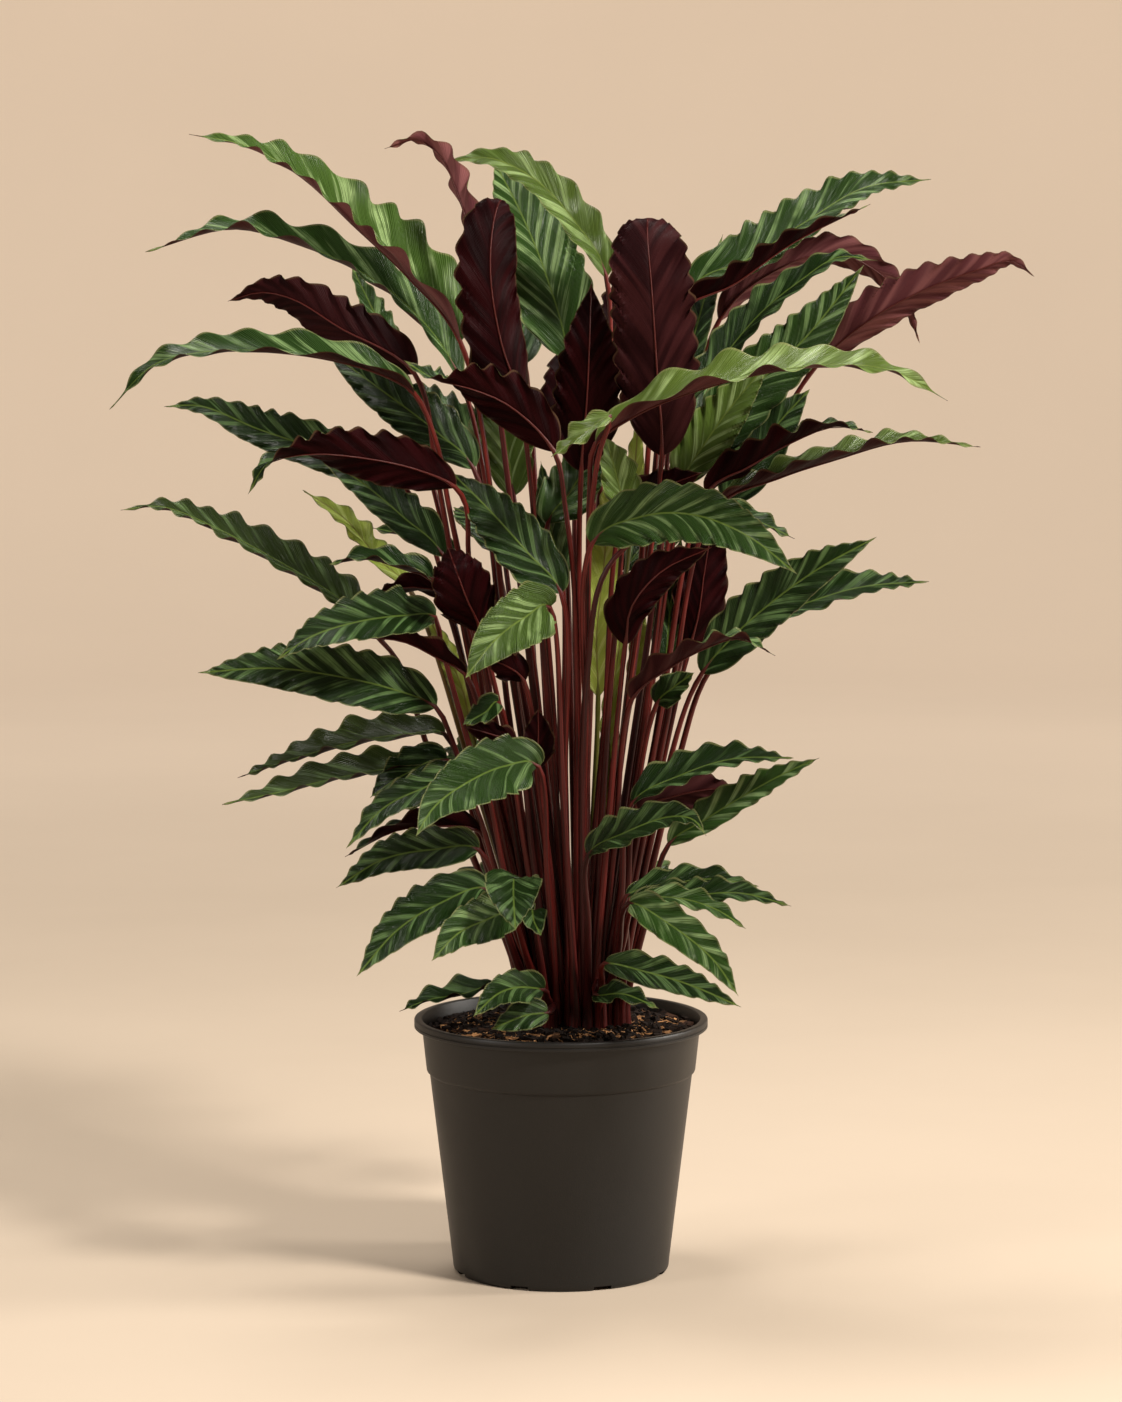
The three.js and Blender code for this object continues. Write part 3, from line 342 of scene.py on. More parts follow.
# Middle of the clump
CENTRE = [
  ["burgundy", [-1, -1], [
    [2.0, 130, 125, [[-6, 72, -2], [-7.2, 75.9, -1], [-8.3, 78.3, 0], [-9.9, 79.4, 0], [-12.2, 78.8, 0]]],
    [4.4, 204, 200, [[-2.8, 60.9, -5], [-4.2, 65.5, -5.8], [-4.9, 70, -6], [-4.7, 73.6, -5.4],
      [-4.2, 75.2, -4.4], [-3.8, 75.1, -3.4]], [], BLUNT]]],
  ["pale", [0, 1], [
    [3.0, 30, 35, [[3.1, 70.1, 2], [1.1, 73.6, 2], [-1.7, 76.6, 2], [-4.8, 78.1, 2], [-7.8, 78, 2]]],
    [5.6, 2, 5, [[0.5, 64.4, 5], [-1, 70, 6], [-2.6, 74, 8], [-4.7, 78.1, 10]]]]],
  ["burgundy", [1, -1], [
    [5.6, 180, 180, [[7, 57.6, -4], [6.7, 63, -5.4], [6.3, 69, -6], [6, 72.6, -5.4], [6, 74, -4.2],
      [6, 73.4, -2.8]], [], BLUNT]]],
  ["burgundy", [0, 0], [
    [4.6, 180, 178, [[1.4, 56.5, -2], [1.8, 61.5, -3], [2, 66, -3.6], [2.1, 69.6, -3]]]]],
  ["burgundy", [0, -2], [
    [3.8, 165, 0, [[-0.5, 57.9, -6], [-3.5, 61, -7.5], [-6.4, 62.3, -9], [-8.8, 62.9, -9.8],
      [-10.9, 64.2, -10.3]], [[0.3, 54, -5.2], [1, 47, -4.4]]]]],
  ["pale", [-1, 1], [
    [3.6, 0, 5, [[-3.3, 54.8, 5], [-3.8, 58.5, 6], [-5, 64.5, 7]]],
    [1.0, 40, 40, [[-5.8, 57.6, 5], [-5.8, 60, 5.5], [-5.6, 63, 5.5]]]]],
  ["green", [-1, -3], [
    [3.9, 0, 5, [[0, 48, -6], [-2.3, 50.8, -5], [-5, 53.8, -4], [-7.7, 56.5, -3]]]]],
  ["burgundy", [-2, -1], [
    [4.2, 178, 180, [[-5.6, 45.3, -4], [-6.6, 47.6, -6.4], [-7.4, 49.8, -6.8], [-7.9, 51.2, -4]]]]],
  ["pale", [0, -4], [
    [3.9, 0, 0, [[-0.8, 47, -8], [-2.5, 46.3, -11], [-4.7, 44.6, -14], [-6.7, 42, -16]]]]],
  ["pale", [-1, 0], [
    [3.8, 5, 10, [[-0.9, 52.9, -1], [0.6, 55, 0], [2.9, 58.8, 1]]],
    [2.2, 15, 20, [[0.1, 49, -0.5], [-0.7, 52.5, 0], [-1.4, 57.2, 1]]]]],
  ["burgundy", [0, -1], [
    [2.6, 170, 170, [[4.6, 53.8, -3], [7, 55.3, -3.5], [9.8, 56.4, -4]]]]],
  ["yellow", [1, 0], [
    [2.8, 10, 15, [[2.6, 40.8, 0.5], [2.5, 45, 1], [3, 50, 1], [3.6, 57.5, 1]]]]],
  ["yellow", [1, 2], [
    [1.4, 5, 10, [[3.4, 33.1, 3.4], [3.4, 38, 3.6], [3.9, 43, 3.8], [4.6, 47.5, 3.8]]],
    [1.3, 5, 10, [[5, 41.3, 4.4], [5.4, 44, 4.5], [5.7, 47.5, 4.5]]],
    [1.6, 10, 15, [[4.8, 52, 5], [5.1, 56, 5.2], [5.4, 60.3, 5.4]]]]],
  ["yellow", [-4, 1], [
    [1.8, 10, 15, [[-6.1, 37.5, 0.2], [-7, 41.5, 0], [-8.8, 45.4, 0], [-9.6, 47, 0]]]]],
  ["burgundy", [-1, -2], [
    [2.4, 180, 180, [[-1.7, 35.6, -4], [-1.6, 37.6, -5], [-1.6, 39.9, -5]]],
    [2.2, 175, 175, [[-2.6, 41.8, -5], [-3.7, 42.8, -6], [-5.2, 43.4, -7]]]]],
  ["green", [-2, -2], [
    [1.8, 20, 30, [[-4.4, 40.3, -5.5], [-5.3, 39.6, -7], [-6.9, 38.7, -8.5]]],
    [1.7, 165, 160, [[-3.3, 37.3, -5], [-5, 38.1, -6], [-6.8, 38.6, -7]]]]],
]

# Far side
BACK = [
  ["green", [-1, 2], [
    [4.2, 20, 40, [[-2.5, 64, 9], [-4, 69, 14], [-5.5, 72, 20]]],
    [3.8, 20, 40, [[-5.5, 57, 9], [-9, 60.5, 13], [-12.5, 62, 19]]]]],
  ["green", [0, 3], [
    [4.0, 160, 150, [[3, 63, 9], [5.5, 69, 13], [8, 72, 18]]],
    [4.0, 20, 40, [[4.5, 49.5, 9], [8, 53, 13], [11, 53.5, 19]]]]],
  ["green", [-2, 3], [
    [3.8, 20, 40, [[-2.6, 49, 8], [-5, 52.5, 13], [-7.5, 54, 19]]],
    [3.4, 20, 30, [[-3.6, 44, 8], [-5, 45.8, 12], [-6.5, 45.4, 17]]]]],
  ["green", [1, 3], [
    [3.8, 20, 40, [[7.4, 58, 9], [10.5, 61.5, 13], [13.5, 63.5, 19]]],
    [3.2, 20, 30, [[5.5, 32.5, 7], [7.6, 34.2, 11], [9.6, 33, 16]]]]],
  ["green", [-1, 4], [
    [3.6, 20, 30, [[-4.4, 34.5, 8], [-6.5, 36, 12], [-8.5, 34.4, 17]]],
    [3.2, 20, 30, [[-4.5, 26.3, 7], [-6, 27.2, 11], [-7.6, 25.4, 16]]]]],
  ["green", [0, 4], [
    [3.4, 20, 30, [[4.6, 26.3, 7], [6.6, 27.5, 11], [8.8, 26.2, 16]]],
    [4.0, 170, 160, [[0.3, 58, 9], [0.8, 63, 13], [1.5, 66.5, 18]]]]],
]

# How pale and how yellow a leaf is: by its shoot's colour, then for leaves that differ from their shoot
TONES = {"green": (0.08, 0), "pale": (0.6, 0), "yellow": (0.35, 1), "burgundy": (0.1, 0)}
LEAF_TONES = {
    "left_01": {0: (0.9, 0.04), 1: (0.55, 0)}, "left_02": {0: (0.3, 0), 1: (0.4, 0)},
    "left_04": {0: (0.5, 0)}, "left_06": {0: (0.6, 0.75), 1: (0.2, 0)}, "left_07": {1: (0.1, 0.04)},
    "left_10": {0: (0.08, 0.04), 1: (0.08, 0.04)}, "left_11": {0: (0.33, 0)}, "left_14": {0: (0.1, 0)},
    "left_15": {0: (0.4, 0), 1: (0.15, 0)}, "right_01": {0: (0.4, 0)},
    # right_04's second leaf is paler than its own green: painted light for a leaf shaded by its neighbours.
    "right_03": {0: (0.9, 0), 1: (0.85, 0)}, "right_04": {0: (0.3, 0), 1: (0.8, 0.1)},
    "right_05": {0: (0.65, 0.14), 1: (0.6, 0.14), 2: (0.7, 0.1)}, "right_07": {1: (0.4, 0.1)},
    "right_08": {0: (0.45, 0), 1: (0.2, 0)}, "right_13": {0: (0.5, 0)}, "right_14": {1: (0.5, 0)},
    "centre_01": {0: (1, 0)}, "centre_02": {0: (0.65, 0.1), 1: (0.65, 0)}, "centre_03": {0: (0.35, 0)},
    "centre_06": {0: (0.8, 0.1)}, "centre_09": {0: (0.55, 0.05)}, "centre_12": {0: (0.7, 1)},
}


# Meshes

def mesh_object(name, vertices, faces, materials, face_materials=None, values=None):
    """A mesh from points in millimetres, a list of face index arrays and a value set per point."""
    mesh = bpy.data.meshes.new(name)
    sizes = np.concatenate([np.full(len(block), block.shape[1]) for block in faces])
    corners = np.concatenate([block.ravel() for block in faces]).astype(np.int32)
    mesh.vertices.add(len(vertices))
    mesh.vertices.foreach_set("co", (np.asarray(vertices) * MM).astype(np.float32).ravel())
    mesh.loops.add(len(corners))
    mesh.loops.foreach_set("vertex_index", corners)
    mesh.polygons.add(len(sizes))
    starts = np.concatenate([[0], np.cumsum(sizes)[:-1]]).astype(np.int32)
    mesh.polygons.foreach_set("loop_start", starts)
    mesh.polygons.foreach_set("loop_total", sizes.astype(np.int32))
    for material in materials:
        mesh.materials.append(material)
    if face_materials is not None:
        mesh.polygons.foreach_set("material_index", np.asarray(face_materials, dtype=np.int32))
    for key, value in (values or {}).items():
        layer = mesh.attributes.new(key, "FLOAT_VECTOR", "POINT")
        layer.data.foreach_set("vector", np.asarray(value, dtype=np.float32).ravel())
    mesh.update(calc_edges=True)
    mesh.validate()
    mesh.polygons.foreach_set("use_smooth", np.ones(len(mesh.polygons), dtype=bool))
    mesh.set_sharp_from_angle(angle=math.radians(50))
    thing = bpy.data.objects.new(name, mesh)
    bpy.context.scene.collection.objects.link(thing)
    return thing


class Parts:
    """Several closed bodies gathered into one mesh."""

    def __init__(self):
        self.vertices = []
        self.faces = []
        self.materials = []
        self.values = {}
        self.count = 0

    def add(self, vertices, faces, materials, **values):
        """materials has a slot for each block of faces; a value is for each point or for them all."""
        for block, slot in zip(faces, materials):
            self.faces.append(np.asarray(block) + self.count)
            self.materials.append(np.full(len(block), slot))
        self.vertices.append(vertices)
        for key, value in values.items():
            self.values.setdefault(key, []).append(np.broadcast_to(value, (len(vertices), 3)))
        self.count += len(vertices)

    def build(self, name, materials):
        vertices, slots = np.concatenate(self.vertices), np.concatenate(self.materials)
        values = {key: np.concatenate(blocks) for key, blocks in self.values.items()}
        return mesh_object(name, vertices, self.faces, materials, slots, values)


def flat_ring(radius, height, sides):
    angle = np.arange(sides) * math.tau / sides
    return np.stack([radius * np.cos(angle), radius * np.sin(angle), np.full(sides, height)], axis=1)


def ring_body(rings, start, end):
    """Closed body over equal rings of points, with one more point in the middle of each end."""
    count, sides = rings.shape[:2]
    around = np.arange(sides)
    after = (around + 1) % sides
    row = np.arange(count - 1)[:, None] * sides
    skin = np.stack([row + around, row + after, row + sides + after, row + sides + around], axis=-1)
    last = (count - 1) * sides
    start_fan = np.stack([after, around, np.full(sides, last + sides)], axis=1)
    end_fan = np.stack([last + around, last + after, np.full(sides, last + sides + 1)], axis=1)
    vertices = np.concatenate([rings.reshape(-1, 3), [start], [end]])
    return vertices, [skin.reshape(-1, 4), start_fan, end_fan]


def tube(centres, across, up, radii, sides=TUBE_SIDES):
    """Closed round tube through centres."""
    circle = flat_ring(1, 0, sides)
    ring = across[:, None, :] * circle[None, :, :1] + up[:, None, :] * circle[None, :, 1:2]
    return ring_body(centres[:, None, :] + ring * radii[:, None, None], centres[0], centres[-1])


def turned(profile, sides):
    """Closed body turned round +Z from a profile that starts and ends on the axis, from the foot up."""
    rings = np.array([flat_ring(radius, height, sides) for radius, height in profile[1:-1]])
    return ring_body(rings, (0, 0, profile[0][1]), (0, 0, profile[-1][1]))


# Materials

class Shader:
    """A node material with short calls for the nodes used here."""

    def __init__(self, name, roughness, shine=0.5):
        self.material = bpy.data.materials.new(name)
        self.material.use_nodes = True
        self.nodes = self.material.node_tree.nodes
        self.links = self.material.node_tree.links
        self.surface = self.nodes["Principled BSDF"]
        self.give("Roughness", roughness)
        self.give("Specular IOR Level", shine)

    def put(self, socket, value):
        if isinstance(value, bpy.types.NodeSocket):
            self.links.new(value, socket)
        else:
            socket.default_value = value

    def give(self, key, value):
        self.put(self.surface.inputs[key], value)

    def node(self, kind, inputs, **settings):
        """Outputs of a new node, which has its inputs by number or name."""
        node = self.nodes.new("ShaderNode" + kind)
        for key, value in settings.items():
            setattr(node, key, value)
        for key, value in inputs.items():
            self.put(node.inputs[key], value)
        return node.outputs

    def split(self, vector):
        return self.node("SeparateXYZ", {0: vector})[:3]

    def join(self, first, second, third):
        return self.node("CombineXYZ", {0: first, 1: second, 2: third})[0]

    def vector(self, name):
        return self.split(self.node("Attribute", {}, attribute_name=name)["Vector"])

    def place(self):
        return self.node("TexCoord", {})["Object"]

    def length(self, vector):
        return self.node("VectorMath", {0: vector}, operation="LENGTH")["Value"]

    def math(self, kind, first, second=0.0):
        return self.node("Math", {0: first, 1: second}, operation=kind)[0]

    def times(self, first, second):
        return self.math("MULTIPLY", first, second)

    def plus(self, first, second):
        return self.math("ADD", first, second)

    def ripple(self, value, pitch):
        """0 to 1 and back once every pitch."""
        return self.plus(self.times(self.math("COSINE", self.times(value, math.tau / pitch)), 0.5), 0.5)

    def span(self, value, low, high, to_low=0.0, to_high=1.0):
        inputs = {"Value": value, "From Min": low, "From Max": high, "To Min": to_low, "To Max": to_high}
        return self.node("MapRange", inputs, interpolation_type="SMOOTHSTEP")[0]

    def noise(self, vector, scale, detail=3, roughness=0.55):
        inputs = {"Vector": vector, "Scale": scale, "Detail": detail, "Roughness": roughness}
        return self.node("TexNoise", inputs)[0]

    def mix(self, share, first, second):
        first, second = (colour if isinstance(colour, bpy.types.NodeSocket) else (*colour, 1)
                         for colour in (first, second))
        return self.node("Mix", {0: share, 6: first, 7: second}, data_type="RGBA")[2]

    def layers(self, colour, *layers):
        """Colours laid over the first one, each with its share."""
        for share, layer in layers:
            colour = self.mix(share, colour, layer)
        return colour

    def finish(self, colour, relief, strength, distance):
        """Gives the surface its colour and its relief, and returns the whole material."""
        self.give("Base Color", colour)
        bump = self.node("Bump", {"Height": relief, "Strength": strength, "Distance": distance})
        self.give("Normal", bump[0])
        return self.material


def blade_pattern(shader):
    """Values that both faces of a blade share: vein stripes and painted sheen, fine veins, midrib, edge and
    mottling.
    """
    across, along, size = shader.vector("leaf_place")
    pale, yellow, chance = shader.vector("leaf_tone")
    out = shader.math("ABSOLUTE", across)
    lean = shader.plus(shader.times(out, VEIN_SLANT), shader.times(shader.math("SQRT", out), VEIN_CURVE))
    slant = shader.math("SUBTRACT", along, lean)
    margin = shader.math("SUBTRACT", shader.math("DIVIDE", out, size), out)
    seed = shader.times(chance, 90)
    half = shader.plus(seed, shader.times(shader.math("SIGN", across), 7))
    spread = shader.times(out, 0.03)

    def streaks(rate, detail, roughness):
        """Noise drawn out along the side veins, its own on each half."""
        return shader.noise(shader.join(shader.times(slant, rate), spread, half), 1, detail, roughness)

    broad = streaks(0.1, 1, 0.4)
    wide = streaks(0.27, 2, 0.5)
    thin = streaks(0.8, 3, 0.7)
    cloud = shader.noise(shader.join(across, along, seed), 0.045, 2)
    # Streaks along the side veins, strongest on the ruffle crests: the leaf's own pale stripes and painted
    # sheen.
    crest = shader.ripple(shader.vector("leaf_vein")[0], 1)
    stripes_and_sheen = shader.plus(shader.times(crest, 0.22), shader.times(broad, 0.7))
    stripes_and_sheen = shader.span(shader.plus(stripes_and_sheen, shader.times(wide, 0.45)), 0.68, 0.84)
    stripes_and_sheen = shader.times(stripes_and_sheen, shader.span(thin, 0.38, 0.54, 0.25, 1))
    stripes_and_sheen = shader.times(stripes_and_sheen, shader.span(cloud, 0.36, 0.54, 0.3, 1))
    fine = shader.ripple(slant, 1.6)
    relief = shader.plus(shader.times(fine, 0.2), shader.plus(wide, shader.times(thin, 0.5)))
    return dict(pale=pale, yellow=yellow, broad=broad, fine=fine, relief=relief,
                stripes_and_sheen=shader.times(stripes_and_sheen, shader.span(size, 0.7, 1.0, 1, 0.5)),
                rib=shader.span(out, 0.3, 0.8, 1, 0), edge=shader.span(margin, 0.45, 1.1, 1, 0))


def make_leaf_top():
    shader = Shader("leaf_top", 0.26, 0.2)
    p = blade_pattern(shader)
    deep = shader.mix(p["pale"], (0.0022, 0.0095, 0.0008), (0.019, 0.058, 0.005))
    # The yellow-green is the leaves' own colour made lighter: painted light for yellow leaves shaded inside
    # the clump.
    deep = shader.mix(p["yellow"], deep, (0.4, 0.5, 0.08))
    light = shader.mix(p["pale"], (0.085, 0.155, 0.05), (0.27, 0.38, 0.16))
    light = shader.mix(p["yellow"], light, (0.6, 0.68, 0.2))
    rib = shader.mix(p["yellow"], (0.13, 0.2, 0.035), (0.3, 0.26, 0.07))
    # Paler streaks over the deep green: the leaf's own stripes with painted sheen on the ruffle crests.
    colour = shader.layers(
        deep, (shader.times(p["fine"], 0.1), light), (p["stripes_and_sheen"], light),
        (shader.times(p["rib"], 0.85), rib), (shader.times(p["edge"], 0.6), (0.19, 0.2, 0.08)))
    return shader.finish(colour, p["relief"], 1.0, 0.0018)


def make_leaf_under():
    shader = Shader("leaf_under", 0.42, 0.025)
    p = blade_pattern(shader)
    pale = shader.math("POWER", p["pale"], 2.5)
    yellow = shader.span(p["yellow"], 0.6, 0.95)
    deep = shader.mix(pale, (0.0048, 0.0005, 0.0007), (0.09, 0.026, 0.03))
    deep = shader.mix(yellow, deep, (0.36, 0.45, 0.07))
    light = shader.mix(pale, (0.0135, 0.0013, 0.0018), (0.2, 0.075, 0.075))
    light = shader.mix(yellow, light, (0.55, 0.62, 0.17))
    colour = shader.layers(
        deep, (shader.span(p["broad"], 0.35, 0.65), light), (shader.times(p["fine"], 0.12), light),
        (shader.times(p["rib"], 0.5), (0.06, 0.009, 0.007)),
        (shader.times(p["edge"], 0.35), (0.1, 0.06, 0.03)))
    return shader.finish(colour, p["relief"], 0.5, 0.0012)


def make_stalk():
    shader = Shader("stalk", 0.38, 0.2)
    around, along, share = shader.vector("leaf_place")
    yellow, chance = shader.vector("leaf_tone")[1:]
    grain = shader.join(shader.times(around, 2.2), shader.times(along, 0.012), shader.times(chance, 70))
    streak = shader.span(shader.noise(grain, 1.0, 4, 0.6), 0.28, 0.72)
    olive = shader.mix(streak, (0.05, 0.055, 0.01), (0.16, 0.16, 0.03))
    colour = shader.layers(
        (0.012, 0.0012, 0.0012), (streak, (0.15, 0.0145, 0.0105)),
        # Darker towards the foot, where the stalks crowd together: painted shade.
        (shader.span(along, 100, 380, 0.5, 0), (0.02, 0.0018, 0.0016)),
        # Lighter and more orange high up: painted light.
        (shader.span(along, 420, 620, 0, 0.3), (0.19, 0.034, 0.024)),
        (shader.span(chance, 0.55, 1.0, 0, 0.6), (0.012, 0.002, 0.0025)),
        (shader.span(share, 0, 0.05, 0, 0.8), (0.055, 0.009, 0.007)),
        (shader.span(yellow, 0.6, 0.95), olive))
    return shader.finish(colour, streak, 0.3, 0.0006)


def make_pot_plastic():
    shader = Shader("pot_plastic", 0.45, 0.32)
    spot = shader.place()
    grain = shader.noise(spot, 900, 4, 0.7)
    cloud = shader.noise(spot, 9, 3)
    shader.give("Roughness", shader.span(cloud, 0.3, 0.7, 0.4, 0.5))
    colour = shader.mix(cloud, (0.0055, 0.0048, 0.0042), (0.009, 0.008, 0.007))
    colour = shader.mix(shader.span(grain, 0.62, 0.75, 0, 0.3), colour, (0.05, 0.046, 0.042))
    return shader.finish(colour, grain, 0.25, 0.0004)


def make_peat():
    shader = Shader("peat", 0.95, 0.2)
    spot = shader.place()
    rough = shader.noise(spot, 420, 5, 0.7)
    cloud = shader.noise(spot, 60, 4)
    colour = shader.mix(shader.span(rough, 0.4, 0.75), (0.003, 0.0016, 0.001), (0.024, 0.01, 0.0045))
    colour = shader.mix(shader.span(cloud, 0.45, 0.7, 0, 0.6), colour, (0.01, 0.005, 0.003))
    return shader.finish(colour, rough, 0.6, 0.001)


def make_bark():
    shader = Shader("bark", 0.85, 0.25)
    chance = shader.vector("bit_tone")[2]
    grain = shader.noise(shader.place(), 500, 4, 0.7)
    colour = shader.mix(chance, (0.03, 0.011, 0.005), (0.6, 0.3, 0.12))
    colour = shader.mix(shader.span(grain, 0.4, 0.75, 0, 0.7), colour, (0.045, 0.02, 0.01))
    return shader.finish(colour, grain, 0.5, 0.0006)


# Leaves

def draw_numbers(seed):
    """The same stream of numbers from 0 to 1 as in the solids."""
    state = seed
    while True:
        state = (state * 48271) % 2147483647
        yield state / 2147483647


def foot_place(foot):
    column, row = foot
    shift = (abs(row) % 2) / 2
    return np.array([CLUMP_X + (column + shift) * FOOT_PITCH, CLUMP_Y + row * FOOT_ROW])


def seen(point):
    """Where a point of the table lies in space."""
    across, up, behind = point
    y = behind * CM
    scale = (EYE_BACK + y) / EYE_BACK
    return np.array([across * CM * scale, y, EYE_HEIGHT + (up * CM - EYE_HEIGHT) * scale])


def outline(share, fall):
    """Width of a blade as a share of its greatest width."""
    rise = np.power(np.clip(1 - np.power(1 - np.minimum(share, WIDEST_AT) / WIDEST_AT, 2), 0, 1), 0.55)
    rest = np.clip((share - WIDEST_AT) / (TAIL_AT - WIDEST_AT), 0, 1)
    fall = TAIL_WIDTH + (1 - TAIL_WIDTH) * (1 - np.power(rest, fall))
    tail = TAIL_WIDTH * (1 - share) / (1 - TAIL_AT)
    return np.where(share < WIDEST_AT, rise, np.where(share > TAIL_AT, tail, fall))


def spline(points, where):
    """Centripetal Catmull-Rom curve through points, at where from 0 to 1."""
    points = np.asarray(points)
    padded = np.concatenate([[2 * points[0] - points[1]], points, [2 * points[-1] - points[-2]]])
    place = np.clip(where, 0, 1) * (len(points) - 1)
    index = np.minimum(place.astype(int), len(points) - 2)
    t = (place - index)[:, None]
    a, b, c, d = (padded[index + k] for k in range(4))
    gap = [np.power(((q - p) ** 2).sum(1), 0.25)[:, None] for p, q in ((a, b), (b, c), (c, d))]
    start = ((b - a) / gap[0] - (c - a) / (gap[0] + gap[1]) + (c - b) / gap[1]) * gap[1]
    end = ((c - b) / gap[1] - (d - b) / (gap[1] + gap[2]) + (d - c) / gap[2]) * gap[1]
    square = (-3 * b + 3 * c - 2 * start - end) * t ** 2
    return b + start * t + square + (2 * b - 2 * c + start + end) * t ** 3


def unit(vectors):
    return vectors / np.linalg.norm(vectors, axis=-1, keepdims=True)


class LeafLine:
    """The line of a stalk and midrib, with a frame along it."""

    def __init__(self, foot, leaf, lean):
        width, self.turn_base, self.turn_tip, blade = leaf[:4]
        stalk = leaf[4] if len(leaf) > 4 else []
        self.fall = leaf[5] if len(leaf) > 5 else POINTED
        ribs = [seen(point) for point in blade]
        base = ribs[0]
        bottom = np.array([foot[0] + lean, foot[1], SOIL_CROWN + 2])
        neck = np.array([foot[0] + lean, foot[1], STALK_NECK])
        if stalk:
            bends = [seen(point) for point in reversed(stalk)]
        else:
            bends = [neck + (base - neck) * np.array([0.5, 0.5, 0.55])]
        self.points = [bottom, neck, *bends, *ribs]
        self.steps = np.linspace(0, 1, CURVE_STEPS + 1)
        walk = spline(self.points, self.steps)
        self.lengths = np.concatenate([[0], np.cumsum(np.linalg.norm(np.diff(walk, axis=0), axis=1))])
        base_share = (len(self.points) - len(ribs)) / (len(self.points) - 1)
        self.stalk_length = self.lengths[round(base_share * CURVE_STEPS)]
        self.blade_length = self.lengths[-1] - self.stalk_length
        self.side = np.sign(ribs[-1][0] - base[0]) or 1
        self.width = width * CM

    def turn(self, share):
        late = TWIST_POWER if abs(self.turn_tip - self.turn_base) > TWIST_FROM else 1
        return np.radians(self.turn_base + (self.turn_tip - self.turn_base) * share ** late)

    def blade_share(self, distances):
        return np.clip((distances - self.stalk_length) / self.blade_length, 0, 1)

    def frames(self, distances):
        """Points with their up and left directions; a blunt blade keeps its left over its top."""
        distances = np.append(distances, self.stalk_length + BLUNT_HOLD * self.blade_length)
        where = np.interp(distances, self.lengths, self.steps)
        point = spline(self.points, where)
        tangent = unit(spline(self.points, where + 1e-4) - spline(self.points, where - 1e-4))
        share = self.blade_share(distances)
        turn = self.turn(share)[:, None]
        view = unit(np.array([0, -EYE_BACK, EYE_HEIGHT]) - point)
        level = unit(np.cross(tangent, view) * -self.side)
        if self.fall == BLUNT:
            held = unit(level[-1] - tangent * (tangent @ level[-1])[:, None])
            level = np.where((share > BLUNT_HOLD)[:, None], held, level)
        facing = unit(np.cross(level, tangent) * -self.side)
        up = facing * np.cos(turn) + level * np.sin(turn)
        left = np.cross(up, tangent)
        return point[:-1], up[:-1], left[:-1]


def ruffles(line, share, shape, slant, s, rng):
    """Over a blade's grid: the height of its ruffles, the scallops of its edges and the ruffles passed."""
    size, sign = np.abs(s), np.sign(s)
    edge_on = math.sin(line.turn(0.4)) ** 2
    pitch = (FRILL_PITCH + FRILL_PITCH_ON_EDGE * edge_on) * rng.uniform(0.9, 1.12)
    pitch = pitch * np.clip(line.blade_length / FULL_PITCH_LENGTH, FRILL_PITCH_LEAST, FRILL_PITCH_MOST)
    drift = DRIFT_SHARE * np.sin(slant / pitch * DRIFT_RATE + rng.uniform(0, 6))
    turns = slant / pitch + drift + rng.random()
    strong = 1 + STRENGTH_SHARE * np.sin(slant / pitch * STRENGTH_RATE + rng.uniform(0, 6))
    reach = (np.clip(share * FRILL_ONSET, 0, 1) * np.sqrt(shape))[:, None] * strong
    width = np.clip(line.width, FRILL_WIDTH_LEAST, FRILL_WIDTH_MOST)
    most = (FRILL_SHARE + FRILL_ON_EDGE * edge_on) * width
    most = most * np.clip(SHORT_BLADE / line.blade_length, 1, SHORT_FRILL_MOST)
    profile = sign * (FRILL_INNER * size + (1 - FRILL_INNER) * size ** FRILL_POWER)
    frill = most * reach * np.cos(math.tau * turns) * profile
    lobe = np.abs(np.cos(math.pi * turns + (sign < 0) * math.pi / 2)) ** SCALLOP_POWER
    scallop = SCALLOP_SHARE * (1 - SCALLOP_FADE * edge_on) * reach * (lobe - SCALLOP_MEAN) * size ** 3
    return frill, scallop, turns


def blade_faces(rows):
    """Top skin, under skin, and the three- and four-sided faces that close the blade at its base."""
    count = COLUMNS + 1
    top = np.arange(rows * count).reshape(rows, count)
    under = top.copy()
    under[:, 1:-1] = rows * count + np.arange(rows * (count - 2)).reshape(rows, count - 2)
    tip = under[-1, -2] + 1

    def skin(index):
        low = np.stack([index[:-1, :-1], index[:-1, 1:], index[1:, 1:]], axis=-1).reshape(-1, 3)
        high = np.stack([index[:-1, :-1], index[1:, 1:], index[1:, :-1]], axis=-1).reshape(-1, 3)
        fan = np.stack([index[-1, :-1], index[-1, 1:], np.full(COLUMNS, tip)], axis=-1)
        return np.concatenate([low, high, fan])

    low, high = under[0], top[0]
    corners = np.array([[high[0], high[1], low[1]], [high[-2], high[-1], low[-2]]])
    middle = np.stack([high[1:-2], high[2:-1], low[2:-1], low[1:-2]], axis=-1)
    return [skin(top)[:, ::-1], skin(under), corners, middle]


def blade_points(top, under, tip):
    """Points or values of a blade: its top grid, its under grid without the shared edges, and its tip."""
    return np.concatenate([top.reshape(-1, 3), under[:, 1:-1].reshape(-1, 3), [tip]])


